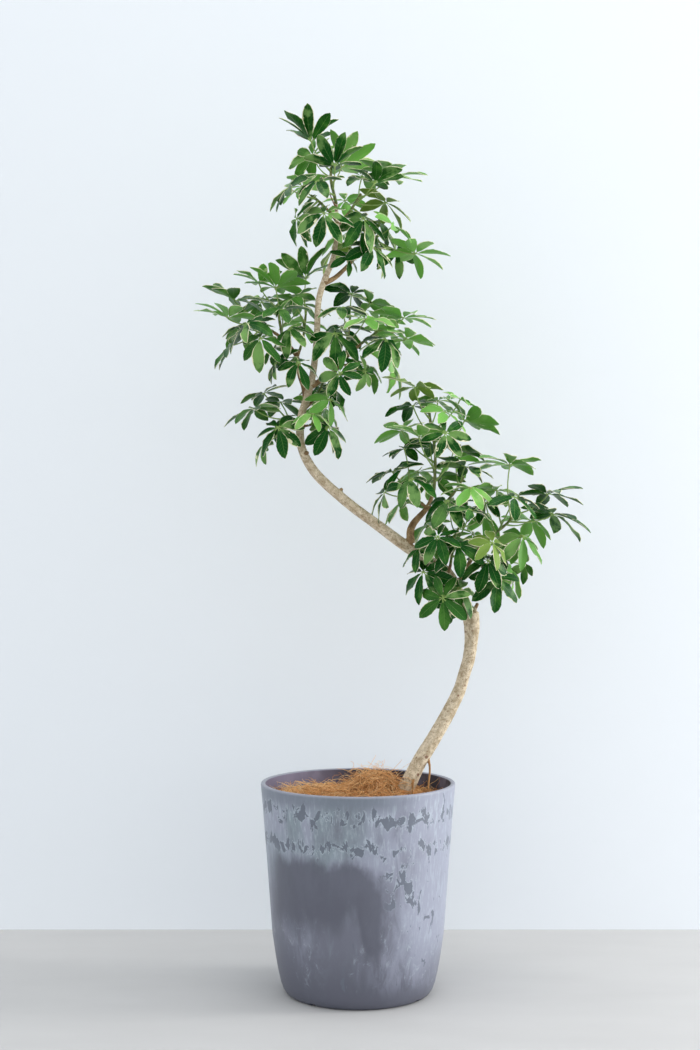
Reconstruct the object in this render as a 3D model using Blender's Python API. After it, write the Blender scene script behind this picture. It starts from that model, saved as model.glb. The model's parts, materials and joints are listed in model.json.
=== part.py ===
"""A potted milky schefflera: a round tapering resin pot of potting soil under a mat of palm fibre, a bare
leaning trunk with a bend and a cut shoulder, and green leafy shoots of palmate leaves.

Metres, +Z up, the centre of the pot's flat foot at the origin. The tables of the plant are in millimetres.
"""

import math
import random
from collections import namedtuple

import bmesh
import bpy
from mathutils import Vector
from mathutils.bvhtree import BVHTree

MM = 0.001

# Pot
POT_OUTER = ((125.0, 0.0), (132.9, 8.9), (141.8, 40.8), (152.0, 104.5), (161.3, 232.0), (172.0, 366.0))
POT_RIM = ((172.5, 368.0), (171.0, 370.0), (166.0, 370.0), (164.3, 368.2))
POT_INNER = ((153.3, 232.0), (133.5, 45.0), (124.0, 12.0))
POT_FLOOR = 12.0
POT_SIDES = 36
DRAIN_HOLES = 4
DRAIN_HOLE_RADIUS = 7.0
DRAIN_HOLE_REACH = 85.0
DRAIN_HOLE_SPAN = (-20.0, 30.0)
DRAIN_HOLE_SIDES = 12
DRAIN_CHANNEL = (12.0, 4.0)
DRAIN_CHANNEL_END = 160.0
DRAIN_TURN = -37.5

# Soil and the fibre mat over it
GAP = 0.3
SOIL_TOP = 290.0
MAT_RINGS = (0.0, 30.0, 60.0, 88.0, 114.0, 136.0)
MAT_SIDES = 24
MAT_BED = 341.0
# Swells of the mat: the middle's x and y, the rise and the reach
MAT_SWELLS = ((34.0, 12.0, 42.0, 47.0), (-32.0, 0.0, 9.0, 60.0))
MAT_LUMPS = (2.6, 1.7)

# Leaves
HUB_REACH = 6.0
HUB_CROWN = 0.9
HUB_DIP = 0.2
BLADE_THICKNESS = 1.3
BLADE_FOLD = 14.0
BLADE_ROLL = (17.0, 5.0)
# Half the blade's width in shares of its length, and where along it that width lies
HALF_WIDTH = 0.205
WIDEST = 0.6
# How far a tip bends below a straight blade, in shares of its length
ARCH = (0.16, 0.38)
PETIOLE_RADIUS = 1.15
PETIOLE_ROOT_RADIUS = 1.6
PETIOLE_BOW = 0.14
PETIOLE_END = 2.0
STEM_SIDES = 5
STEM_TAPER = 0.18
STEM_SPAN = (0.12, 0.96)
STEM_TIP = (3.0, 0.9)
ROOM_BETWEEN = 0.6
# A leaf has this many leaflets, and one more from each of these leaf sizes on
FEWEST_LEAFLETS = 6
MORE_LEAFLETS_FROM = (57, 66)
# Leaflets at the stalk's side are shorter; lengths, widths, places and lifts vary a little
BACK_SHORTER = 0.2
LENGTH_SPREAD = (0.94, 1.05)
WIDTH_SPREAD = (0.9, 1.04)
OVERLAP = 1.12
TURN_SPREAD = 0.1
LIFT_SPREAD = 7.0
LIFT_EVERY_OTHER = 5.0
# The upright part of a leaf's direction, beside its lean
LEAN_UPRIGHT = 0.85
# A leaf that isn't clear where it is asked for is tried again, each time turned and moved more
TRIES = 60
SPIN_STEP = 0.4
TURN_TO_STALK = 0.7
FLATTEN = 0.6
LIFT_TRIAL = 12.0
STEM_LEAD = 2.5
PUSH = (4.0, 30.0)
SWAY = (0.1, 0.6)
SMALLER_FROM = 30
SMALLER_BY = 0.86
SEED = 7

Limb = namedtuple("Limb", "name sides points radii")
Shoot = namedtuple("Shoot", "name radius points leaves")
Leaf = namedtuple("Leaf", "hub lean lift size")

# The wood: a lower trunk, an upper trunk out of its cut shoulder, branches, spurs, stubs and two roots
WOOD = (
    Limb("lower trunk", 8, (
        (28, 0, 256), (60, 0, 311), (82, 0, 352), (106, 2, 400), (122, 4, 426),
        (138, 6, 452), (154, 8, 479), (168, 10, 505), (181, 12, 532), (189, 12, 559),
        (197, 12, 585), (201, 11, 612), (203, 10, 643), (202, 10, 671),
    ), (15.5, 16, 15, 13.5, 13.2, 12.8, 12.6, 12, 11.6, 11, 11.2, 11.5, 14, 13.5)),
    Limb("upper trunk", 7, (
        (199, 10, 650), (192, 9, 684), (178, 7, 705), (158, 5, 741), (128, 3, 760),
        (87, 0, 787), (37, -4, 824), (-14, -8, 862), (-55, -12, 897), (-78, -14, 921),
        (-95, -17, 950), (-102, -19, 976), (-101, -21, 1015), (-91, -23, 1048), (-80, -24, 1090),
        (-73, -25, 1153), (-70, -22, 1219), (-59, -20, 1259), (-47, -17, 1288), (-40, -14, 1319),
        (-37, -10, 1355), (-39, -6, 1395),
    ), (
        11, 11, 11, 10.8, 10.6, 10, 9.6, 9.3, 9, 8.6, 8,
        7.4, 6.9, 6.6, 6.1, 5.7, 5.5, 5.4, 4.9, 4.3, 3.7, 3.1,
    )),
    Limb("aerial root", 5, (
        (121, 4, 423), (126, -4, 406), (127, -8, 390), (125, -10, 371), (123, -10, 345),
    ), (2.6, 2.3, 2.1, 2, 1.9)),
    Limb("small root", 5, (
        (101, 2, 387), (98, -13, 374), (95, -18, 346),
    ), (2.4, 2, 1.8)),
    Limb("pruned stub", 6, (
        (205, 8, 657), (208, 6, 675), (213, 4, 687),
    ), (3.8, 3.6, 3.2)),
    Limb("knob", 6, (
        (-97, -18, 950), (-88, -27, 954),
    ), (4.2, 3)),
    Limb("old bud", 6, (
        (-36, -10, 880), (-28, -11, 891),
    ), (4, 3)),
    Limb("dry twig", 5, (
        (-39, -6, 1388), (-46, -12, 1402), (-51, -14, 1414),
    ), (1.9, 1.5, 1.2)),
    Limb("side branch", 6, (
        (-58, -20, 1253), (-41, -8, 1264), (-27, 2, 1278), (-15, 8, 1291), (-5, 12, 1304),
        (9, 18, 1322),
    ), (5, 4.4, 4, 3.7, 3.4, 3)),
    Limb("side spur", 5, (
        (-16, 8, 1290), (-18, 16, 1300), (-17, 20, 1310),
    ), (2.9, 2.8, 2.7)),
    Limb("top left spur", 5, (
        (-37, -9, 1362), (-48, -4, 1379), (-57, -2, 1388),
    ), (3.1, 3, 2.8)),
    Limb("top right spur", 5, (
        (-37, -10, 1350), (-27, 0, 1367), (-18, 4, 1379),
    ), (3.2, 3, 2.9)),
    Limb("left branch", 6, (
        (-92, -22, 1050), (-96, -12, 1071), (-102, -4, 1088), (-105, 2, 1102), (-109, 10, 1125),
        (-121, 16, 1144), (-137, 14, 1160), (-151, 10, 1170),
    ), (5.6, 5.2, 4.9, 4.7, 4.3, 3.8, 3.3, 3)),
    Limb("left high spur", 5, (
        (-109, 10, 1123), (-104, 18, 1139),
    ), (2.9, 2.7)),
    Limb("left upper spur", 5, (
        (-123, 16, 1145), (-132, 22, 1153),
    ), (2.9, 2.8)),
    Limb("left low spur", 5, (
        (-106, 3, 1107), (-115, -10, 1113),
    ), (2.9, 2.8)),
    Limb("right branch", 6, (
        (-80, -23, 1071), (-61, -12, 1086), (-48, -4, 1094), (-37, 4, 1105), (-30, 10, 1115),
        (-13, 18, 1133), (5, 22, 1150),
    ), (5.2, 4.6, 4.3, 4, 3.7, 3.3, 3)),
    Limb("right upper spur", 5, (
        (-28, 11, 1117), (-21, 24, 1128),
    ), (2.9, 2.8)),
    Limb("right low spur", 5, (
        (-32, 8, 1112), (-23, 0, 1110), (-16, -8, 1111),
    ), (2.9, 2.8, 2.7)),
    Limb("low left spur", 5, (
        (-101, -20, 1001), (-111, -19, 1004),
    ), (2.8, 2.6)),
    Limb("low right spur", 5, (
        (-101, -20, 999), (-87, -20, 1002),
    ), (2.7, 2.5)),
    Limb("low green spur", 5, (
        (-90, -22, 1034), (-81, -16, 1043),
    ), (2.8, 2.6)),
    Limb("crown branch", 6, (
        (94, -1, 794), (93, 0, 815), (101, 1, 832), (122, 3, 855), (129, 5, 869),
        (132, 6, 878),
    ), (7.4, 7, 6.2, 4.6, 3.8, 3.4)),
    Limb("crown left spur", 5, (
        (123, 3, 856), (112, 2, 865),
    ), (2.9, 2.8)),
    Limb("crown middle spur", 5, (
        (124, 3, 858), (135, -2, 854), (145, -6, 856),
    ), (3.1, 3, 2.9)),
    Limb("crown right branch", 6, (
        (176, 6, 717), (189, 8, 742), (206, 9, 771), (228, 10, 798),
    ), (4.8, 4.2, 3.6, 3.2)),
    Limb("crown right spur", 5, (
        (205, 9, 767), (220, -4, 759), (231, -14, 754),
    ), (3, 2.9, 2.8)),
    Limb("crown front spur", 5, (
        (160, 5, 739), (162, -14, 750), (163, -26, 759),
    ), (3.3, 3.1, 2.9)),
    Limb("crown back spur", 5, (
        (153, 4, 746), (155, 20, 755), (160, 34, 763),
    ), (3.3, 3.1, 2.9)),
    Limb("crown low left spur", 5, (
        (137, 3, 757), (133, -10, 761), (130, -20, 763),
    ), (3.2, 3, 2.8)),
    Limb("crown low spur", 5, (
        (178, 7, 714), (180, -15, 716), (179, -30, 721),
    ), (3.2, 3, 2.8)),
    Limb("shoulder spur", 5, (
        (192, 8, 671), (186, -6, 670), (183, -16, 672),
    ), (3, 2.8, 2.5)),
)

# The leafy shoots: a stem and the hub, lean, lift and size of each leaf round it
SHOOTS = (
    Shoot("top_leader", 2.9, ((-39, -6, 1395), (-43, -6, 1414), (-48, -4, 1436), (-48, -2, 1459)), (
        Leaf((-95, -25, 1491), (0.1, 0.35), 62, 74),
        Leaf((-65, 45, 1471), (-0.6, 0.2), 8, 66),
        Leaf((-20, 5, 1463), (0.1, 0.5), 66, 76),
        Leaf((-41, -45, 1454), (-0.1, 0.5), 40, 62),
        Leaf((-70, -70, 1424), (-0.4, -0.35), -10, 56),
    )),
    Shoot("top_left", 2.6, ((-57, -2, 1388), (-68, 2, 1400), (-82, 8, 1412)), (
        Leaf((-131, -5, 1420), (0.0, 0.3), 12, 68),
        Leaf((-101, 70, 1442), (-0.2, 0.24), 10, 60),
        Leaf((-90, -40, 1383), (-0.5, 0.08), -15, 58),
        Leaf((-82, 10, 1362), (-0.5, -0.21), -29, 66),
        Leaf((-58, -75, 1361), (-0.1, -1.0), -27, 62),
    )),
    Shoot("top_right", 2.7, ((-18, 4, 1379), (-7, 8, 1396), (4, 14, 1415)), (
        Leaf((64, 5, 1441), (0.1, 0.16), 20, 70),
        Leaf((28, -45, 1424), (0.2, 0.12), 25, 60),
        Leaf((50, 15, 1402), (0.5, 0.12), -4, 64),
        Leaf((41, 30, 1369), (0.5, 0.16), -25, 56),
        Leaf((3, -65, 1359), (0.2, -0.9), -26, 60),
        Leaf((8, 85, 1459), (0.2, 0.2), 10, 60),
        Leaf((-24, 115, 1425), (-0.1, 0.24), -5, 56),
    )),
    Shoot("side_tip", 2.6, ((9, 18, 1322), (21, 22, 1334), (34, 28, 1344)), (
        Leaf((102, 20, 1314), (0.05, 0.12), 12, 66),
        Leaf((47, -25, 1342), (0.3, 0.1), 0, 58),
        Leaf((69, 75, 1339), (0.4, 0.2), -10, 56),
        Leaf((35, -50, 1306), (0.3, -0.35), -30, 58),
        Leaf((30, 5, 1288), (0.2, 0.12), -22, 50),
    )),
    Shoot("side_inner", 2.4, ((-17, 20, 1310), (-15, 24, 1325), (-16, 27, 1338)), (
        Leaf((-29, 75, 1352), (-0.3, 0.24), -10, 54),
        Leaf((-11, -50, 1334), (0.1, -0.35), -22, 54),
        Leaf((-40, 50, 1319), (-0.4, 0.16), -22, 50),
        Leaf((0, -25, 1278), (0.1, -0.28), -20, 46),
    )),
    Shoot("left_tip", 2.7, ((-151, 10, 1170), (-166, 8, 1178), (-181, 6, 1189)), (
        Leaf((-235, 5, 1192), (0.05, 0.14), 12, 70),
        Leaf((-216, 20, 1228), (0.15, 0.14), 14, 74),
        Leaf((-213, -5, 1145), (-0.05, 0.08), 4, 66),
        Leaf((-184, -70, 1185), (-0.3, -0.28), 0, 60),
        Leaf((-166, -85, 1149), (-0.3, -0.35), -21, 58),
        Leaf((-197, 85, 1182), (-0.4, 0.24), -15, 60),
    )),
    Shoot("left_upper", 2.7, ((-132, 22, 1153), (-138, 26, 1177), (-142, 30, 1201), (-143, 32, 1221)), (
        Leaf((-147, 30, 1251), (0.0, 0.2), 28, 66),
        Leaf((-179, 50, 1263), (-0.05, 0.4), 46, 56),
        Leaf((-105, 75, 1230), (0.2, 0.24), 5, 60),
        Leaf((-132, -40, 1204), (-0.1, -0.28), 5, 58),
        Leaf((-176, 110, 1235), (-0.4, 0.24), -5, 58),
    )),
    Shoot("left_high", 2.4, ((-104, 18, 1139), (-98, 24, 1162), (-95, 30, 1190), (-93, 34, 1212)), (
        Leaf((-92, 35, 1266), (-0.05, 0.35), 44, 68),
        Leaf((-119, 0, 1225), (-0.3, -0.14), 0, 56),
        Leaf((-100, 95, 1198), (0.1, 0.24), -10, 56),
        Leaf((-123, -45, 1167), (-0.2, -0.35), -20, 54),
    )),
    Shoot("left_low", 2.6, ((-115, -10, 1113), (-125, -22, 1106), (-137, -34, 1102)), (
        Leaf((-132, -74, 1120), (-0.3, -0.8), -25, 52),
        Leaf((-153, -30, 1127), (-0.4, -0.28), -24, 58),
        Leaf((-103, -75, 1108), (0.1, -1.0), -28, 54),
        Leaf((-139, 10, 1147), (-0.3, 0.08), -10, 54),
    )),
    Shoot("right_tip", 2.7, ((5, 22, 1150), (21, 24, 1162), (38, 26, 1175)), (
        Leaf((63, 25, 1171), (0.2, 0.08), 2, 66),
        Leaf((78, 10, 1195), (0.1, 0.12), 8, 64),
        Leaf((47, -55, 1152), (0.3, -0.42), -30, 60),
        Leaf((40, 80, 1203), (0.3, 0.24), 5, 60),
        Leaf((55, 15, 1128), (0.4, 0.04), -16, 66),
        Leaf((81, -25, 1150), (0.2, 0.04), 0, 60),
    )),
    Shoot("right_upper", 2.6, ((-21, 24, 1128), (-20, 30, 1154), (-16, 34, 1180), (-14, 38, 1202)), (
        Leaf((-11, 50, 1236), (0.1, 0.2), 18, 60),
        Leaf((21, 25, 1223), (0.3, 0.16), 15, 58),
        Leaf((-40, -52, 1161), (-0.1, -1.0), -25, 62),
        Leaf((-23, -30, 1207), (-0.1, -0.28), -12, 56),
        Leaf((15, -55, 1183), (0.3, -0.35), -10, 56),
        Leaf((-33, 105, 1193), (-0.2, 0.24), -5, 58),
    )),
    Shoot("right_low", 2.5, ((-16, -8, 1111), (-7, -18, 1105), (2, -30, 1098)), (
        Leaf((6, -74, 1113), (0.2, -0.8), -25, 50),
        Leaf((-30, -66, 1116), (-0.1, -1.0), -28, 58),
        Leaf((21, 5, 1105), (0.5, 0.08), -29, 54),
        Leaf((-23, -20, 1085), (0.1, -0.21), -32, 48),
    )),
    Shoot("low_left", 2.2, ((-111, -19, 1004), (-120, -18, 1010), (-129, -16, 1015)), (
        Leaf((-184, -10, 1033), (-0.25, 0.08), -8, 62),
        Leaf((-138, 20, 1046), (-0.2, 0.2), -5, 56),
        Leaf((-142, -45, 999), (-0.2, -1.2), -25, 60),
        Leaf((-163, 20, 990), (-0.3, -0.42), -27, 54),
        Leaf((-126, 40, 1000), (-0.1, -0.9), -27, 54),
        Leaf((-170, 50, 1064), (-0.3, 0.2), 5, 52),
    )),
    Shoot("low_right", 2.2, ((-87, -20, 1002), (-76, -18, 1008), (-67, -16, 1013)), (
        Leaf((-75, 25, 994), (0.0, -1.3), -23, 56),
        Leaf((-54, 20, 1042), (0.8, 0.04), -22, 64),
        Leaf((-53, -45, 996), (0.3, -1.1), -25, 60),
        Leaf((-79, -60, 1021), (0.1, -0.35), -20, 46),
    )),
    Shoot("low_green", 2.3, ((-81, -16, 1043), (-74, -8, 1054), (-66, 0, 1071), (-59, 6, 1086)), (
        Leaf((-36, 30, 1070), (0.4, 0.12), -22, 47),
        Leaf((-72, 60, 1081), (-0.1, 0.24), -15, 50),
        Leaf((-44, -35, 1056), (0.3, -0.28), -25, 52),
    )),
    Shoot("crown_leader", 2.9, (
        (132, 6, 878), (136, 5, 895), (137, 4, 926), (137, 3, 959), (131, 2, 993), (127, 1, 1023),
    ), (
        Leaf((97, -12, 1072), (0.1, 0.3), 10, 60),
        Leaf((156, -40, 1024), (0.4, -0.3), -8, 52),
        Leaf((179, -8, 1046), (0.1, 0.0), 4, 46),
        Leaf((107, -40, 980), (0.1, 0.08), 22, 64),
        Leaf((170, -10, 960), (0.2, 0.12), 20, 62),
        Leaf((196, 15, 1001), (0.45, 0.12), 24, 68),
        Leaf((160, -62, 1000), (0.2, -0.7), -18, 58),
        Leaf((80, 50, 996), (-0.1, 0.2), 8, 58),
        Leaf((145, 60, 1052), (0.1, 0.2), 2, 52),
        Leaf((94, 60, 1040), (-0.2, 0.2), 5, 54),
        Leaf((131, 75, 981), (0.1, 0.24), -5, 58),
    )),
    Shoot("crown_left", 2.6, ((112, 2, 865), (99, 0, 876), (85, -2, 886)), (
        Leaf((68, 10, 913), (-0.1, 0.12), 8, 64),
        Leaf((56, -15, 881), (-0.15, 0.12), 4, 64),
        Leaf((95, 30, 943), (-0.1, 0.16), 10, 60),
        Leaf((93, -65, 904), (-0.2, -0.35), -24, 60),
        Leaf((109, 65, 922), (-0.2, 0.24), 0, 58),
        Leaf((79, 45, 864), (-0.4, 0.16), -12, 56),
    )),
    Shoot("crown_middle", 2.7, ((145, -6, 856), (161, -8, 872), (175, -8, 890), (186, -8, 909)), (
        Leaf((186, -10, 930), (0.3, 0.08), -5, 64),
        Leaf((154, -75, 869), (0.0, -0.35), -22, 62),
        Leaf((194, -60, 892), (0.3, -0.28), -12, 60),
        Leaf((143, 55, 911), (-0.3, 0.2), -10, 58),
        Leaf((184, 50, 862), (0.1, 0.24), -15, 58),
        Leaf((167, 60, 940), (0.0, 0.2), 5, 54),
    )),
    Shoot("crown_right", 2.8, ((228, 10, 798), (248, 12, 814), (267, 14, 830), (282, 14, 849)), (
        Leaf((348, 15, 846), (0.25, 0.1), 2, 72),
        Leaf((338, 10, 881), (0.15, 0.12), 6, 70),
        Leaf((271, 15, 933), (0.05, 0.12), 12, 74),
        Leaf((289, -40, 807), (0.4, -0.8), -25, 62),
        Leaf((314, 80, 835), (0.5, 0.2), -8, 62),
        Leaf((273, -60, 875), (0.2, -0.28), -12, 60),
        Leaf((252, 65, 889), (0.0, 0.24), 5, 60),
        Leaf((233, -35, 882), (-0.2, -0.21), 5, 58),
    )),
    Shoot("crown_low_left", 2.5, ((130, -20, 763), (118, -30, 761), (108, -40, 759)), (
        Leaf((112, -70, 745), (-0.4, -0.9), -27, 64),
        Leaf((110, -50, 789), (-0.5, 0.0), -12, 58),
    )),
    Shoot("crown_low", 2.5, ((179, -30, 721), (173, -42, 724), (169, -52, 730)), (
        Leaf((159, -75, 724), (-0.1, -1.1), -26, 64),
        Leaf((187, -60, 723), (0.4, -0.9), -27, 58),
        Leaf((135, -58, 716), (-0.4, -0.8), -25, 46),
    )),
    Shoot("crown_right_low", 2.6, ((231, -14, 754), (247, -18, 761), (261, -20, 770)), (
        Leaf((269, -25, 780), (0.4, -0.14), -25, 60),
        Leaf((237, -50, 733), (0.2, -1.1), -27, 60),
        Leaf((295, 22, 771), (0.5, 0.08), -23, 48),
        Leaf((223, -92, 766), (0.1, -1.0), -28, 58),
        Leaf((262, 10, 733), (0.6, -0.28), -29, 58),
    )),
    Shoot("crown_front", 2.6, ((163, -26, 759), (165, -36, 775), (171, -46, 791), (177, -54, 809)), (
        Leaf((171, -100, 787), (0.0, -1.0), -28, 62),
        Leaf((206, -95, 811), (0.3, -0.42), -29, 60),
        Leaf((146, -85, 809), (-0.3, -0.42), -29, 60),
        Leaf((190, -80, 855), (0.1, -0.14), -10, 54),
        Leaf((217, -78, 786), (0.4, -1.0), -27, 60),
    )),
    Shoot("crown_back", 2.6, ((160, 34, 763), (166, 50, 784), (176, 62, 806), (187, 72, 828)), (
        Leaf((207, 120, 798), (0.2, 0.24), -25, 60),
        Leaf((151, 105, 802), (-0.3, 0.24), -25, 60),
        Leaf((225, 105, 839), (0.4, 0.2), -12, 60),
        Leaf((174, 120, 848), (-0.1, 0.24), -8, 60),
        Leaf((127, 70, 830), (-0.5, 0.16), -21, 56),
    )),
    Shoot("shoulder_shoot", 2.2, ((183, -16, 672), (183, -24, 676), (184, -30, 682)), (
        Leaf((185, -42, 681), (0.1, -0.42), -36, 46),
    )),
)


# Materials
def material(name, colour, roughness):
    made = bpy.data.materials.new(name)
    made.use_nodes = True
    shader = made.node_tree.nodes["Principled BSDF"]
    shader.inputs["Base Color"].default_value = (*colour, 1.0)
    shader.inputs["Roughness"].default_value = roughness
    shader.inputs["Metallic"].default_value = 0.0
    made.diffuse_color = (*colour, 1.0)
    return made


def resin_material():
    return material("marbled_resin", (0.42, 0.40, 0.44), 0.62)


def soil_material():
    return material("potting_soil", (0.06, 0.045, 0.035), 0.95)


def fibre_material():
    return material("palm_fibre", (0.36, 0.21, 0.11), 0.9)


def bark_material():
    return material("bark", (0.56, 0.46, 0.35), 0.8)


def leaf_material():
    return material("leaf", (0.09, 0.22, 0.07), 0.42)


# Shapes out of points and faces
def mesh_object(name, corners, faces, finish):
    mesh = bpy.data.meshes.new(name)
    mesh.from_pydata([tuple(corner) for corner in corners], [], faces)
    mesh.materials.append(finish)
    piece = bpy.data.objects.new(name, mesh)
    bpy.context.scene.collection.objects.link(piece)
    return piece


def across(direction):
    """A unit vector square to this direction, with no sudden turn as the direction leans."""
    start = Vector((0.0, -1.0, 0.0)) if abs(direction.y) < 0.9 else Vector((1.0, 0.0, 0.0))
    return (start - direction * start.dot(direction)).normalized()


def stations(points):
    """Each route point with the direction there and a side vector carried along the route."""
    found = []
    side = None
    for index, point in enumerate(points):
        ahead = points[min(index + 1, len(points) - 1)] - points[max(index - 1, 0)]
        ahead.normalize()
        side = across(ahead) if side is None else (side - ahead * side.dot(ahead)).normalized()
        found.append((point, ahead, side))
    return found


def tube(points, radii, sides):
    """Corners and faces of a closed tube of flat ends along a route."""
    corners = []
    faces = []
    for (point, ahead, side), radius in zip(stations(points), radii):
        other = ahead.cross(side)
        for step in range(sides):
            turn = 2 * math.pi * step / sides
            corners.append(point + radius * (math.cos(turn) * side + math.sin(turn) * other))
    for ring in range(len(points) - 1):
        for step in range(sides):
            here = ring * sides + step
            beside = ring * sides + (step + 1) % sides
            faces.append((here, beside, beside + sides, here + sides))
    last = (len(points) - 1) * sides
    faces.append(tuple(range(sides))[::-1])
    faces.append(tuple(range(last, last + sides)))
    return corners, faces


def route(points):
    return [Vector(point) * MM for point in points]


# Joining closed shapes into one body, and cutting one from another
def is_closed(mesh):
    """Whether every edge of the mesh lies between exactly two faces."""
    shape = bmesh.new()
    shape.from_mesh(mesh)
    closed = all(edge.is_manifold for edge in shape.edges)
    shape.free()
    return closed


def join(name, pieces):
    """One body out of closed shapes that run into each other."""
    if len(pieces) > 1:
        others = bpy.data.collections.new(name + " shapes")
        for piece in pieces[1:]:
            bpy.context.scene.collection.objects.unlink(piece)
            others.objects.link(piece)
        union = pieces[0].modifiers.new("join", "BOOLEAN")
        union.operation = "UNION"
        union.operand_type = "COLLECTION"
        union.collection = others
        for solver in ("EXACT", "MANIFOLD"):
            union.solver = solver
            joined = evaluated_mesh(pieces[0])
            if is_closed(joined):
                break
        pieces[0].modifiers.clear()
        pieces[0].data = joined
        for piece in pieces[1:]:
            bpy.data.objects.remove(piece)
        bpy.data.collections.remove(others)
    pieces[0].name = name
    pieces[0].data.name = name
    return pieces[0]


def cut(piece, cutters):
    """The piece with the cutters taken out of it."""
    for cutter in cutters:
        difference = piece.modifiers.new("cut", "BOOLEAN")
        difference.operation = "DIFFERENCE"
        difference.solver = "EXACT"
        difference.object = cutter
    apply_modifiers(piece)
    for cutter in cutters:
        bpy.data.objects.remove(cutter)


def evaluated_mesh(piece):
    graph = bpy.context.evaluated_depsgraph_get()
    return bpy.data.meshes.new_from_object(piece.evaluated_get(graph))


def apply_modifiers(piece):
    finished = evaluated_mesh(piece)
    piece.modifiers.clear()
    piece.data = finished


# Pot
def lathe(name, profile, sides, finish):
    """A round solid from a profile that starts and ends on the axis."""
    shape = bmesh.new()
    line = [shape.verts.new((radius * MM, 0.0, height * MM)) for radius, height in profile]
    edges = [shape.edges.new(pair) for pair in zip(line, line[1:])]
    bmesh.ops.spin(
        shape,
        geom=line + edges,
        cent=(0.0, 0.0, 0.0),
        axis=(0.0, 0.0, 1.0),
        angle=2 * math.pi,
        steps=sides,
        use_merge=True,
    )
    bmesh.ops.remove_doubles(shape, verts=shape.verts, dist=1e-6)
    bmesh.ops.recalc_face_normals(shape, faces=shape.faces)
    mesh = bpy.data.meshes.new(name)
    shape.to_mesh(mesh)
    shape.free()
    mesh.materials.append(finish)
    piece = bpy.data.objects.new(name, mesh)
    bpy.context.scene.collection.objects.link(piece)
    piece.data.shade_smooth()
    piece.data.set_sharp_from_angle(angle=math.radians(40))
    return piece


def drain_cutters():
    """Round holes through the floor, and a shallow channel under each out to the edge of the foot."""
    cutters = []
    width, depth = DRAIN_CHANNEL
    for number in range(DRAIN_HOLES):
        turn = math.radians(DRAIN_TURN - 90 + 360 * number / DRAIN_HOLES)
        outward = Vector((math.cos(turn), math.sin(turn), 0.0))
        centre = outward * DRAIN_HOLE_REACH * MM
        ends = [centre + Vector((0, 0, height)) * MM for height in DRAIN_HOLE_SPAN]
        hole = tube(ends, [DRAIN_HOLE_RADIUS * MM] * 2, DRAIN_HOLE_SIDES)
        cutters.append(mesh_object("drain hole cutter", *hole, None))
        sideways = Vector((-outward.y, outward.x, 0.0)) * width / 2 * MM
        near = outward * DRAIN_HOLE_REACH * MM
        far = outward * DRAIN_CHANNEL_END * MM
        floor = Vector((0, 0, -depth * MM))
        ceiling = Vector((0, 0, depth * MM))
        plan = (near - sideways, far - sideways, far + sideways, near + sideways)
        box = [corner + level for level in (floor, ceiling) for corner in plan]
        sides = [(0, 3, 2, 1), (4, 5, 6, 7), (0, 1, 5, 4), (1, 2, 6, 5), (2, 3, 7, 6), (3, 0, 4, 7)]
        cutters.append(mesh_object("drain channel cutter", box, sides, None))
    return cutters


def make_pot():
    profile = ((0.0, 0.0),) + POT_OUTER + POT_RIM + POT_INNER + ((0.0, POT_FLOOR),)
    pot = lathe("pot", profile, POT_SIDES, resin_material())
    cut(pot, drain_cutters())
    return pot


# Soil and mat
def inner_radius(height):
    """The pot's inner radius at this height, straight between the profile's points."""
    line = [POT_RIM[3]] + list(POT_INNER)
    for (upper, top), (lower, bottom) in zip(line, line[1:]):
        if bottom <= height <= top:
            return lower + (upper - lower) * (height - bottom) / (top - bottom)
    return line[-1][0]


def clear_radius(height):
    """The radius of a filling with as many sides as the pot's wall, a gap inside its flats."""
    return inner_radius(height) - GAP


def root_cutters(limbs):
    """The trunk's foot and the small roots, made a gap thicker, to cut their plain holes."""
    cutters = []
    for limb in limbs:
        radii = [(radius + 2 * GAP) * MM for radius in limb.radii]
        points = route(limb.points)
        if limb is WOOD[0]:
            down = (points[0] - points[1]).normalized()
            points[0] = points[0] + down * 2 * GAP * MM
            shape = tube(points[:6], radii[:6], limb.sides)
        else:
            down = (points[-1] - points[-2]).normalized()
            points[-1] = points[-1] + down * 2 * GAP * MM
            shape = tube(points, radii, limb.sides)
        cutters.append(mesh_object(limb.name + " hole cutter", *shape, None))
    return cutters


def make_soil():
    profile = (
        (0.0, POT_FLOOR + GAP),
        (clear_radius(POT_FLOOR), POT_FLOOR + GAP),
        (clear_radius(45.0), 45.0),
        (clear_radius(232.0), 232.0),
        (clear_radius(SOIL_TOP), SOIL_TOP),
        (0.0, SOIL_TOP),
    )
    soil = lathe("potting_soil", profile, POT_SIDES, soil_material())
    cut(soil, root_cutters(WOOD[:1]))
    return soil


def mat_height(x, y):
    """The top of the fibre mat: a bed with a mound beside the trunk and a low shoulder left of it."""
    height = MAT_BED
    for middle_x, middle_y, rise, reach in MAT_SWELLS:
        height += rise * math.exp(-((x - middle_x) ** 2 + (y - middle_y) ** 2) / reach ** 2)
    coarse, fine = MAT_LUMPS
    height += coarse * math.sin(x / 9.0 + 1.3) * math.cos(y / 11.0 - 0.4)
    return height + fine * math.sin((x + y) / 6.3)


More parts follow.
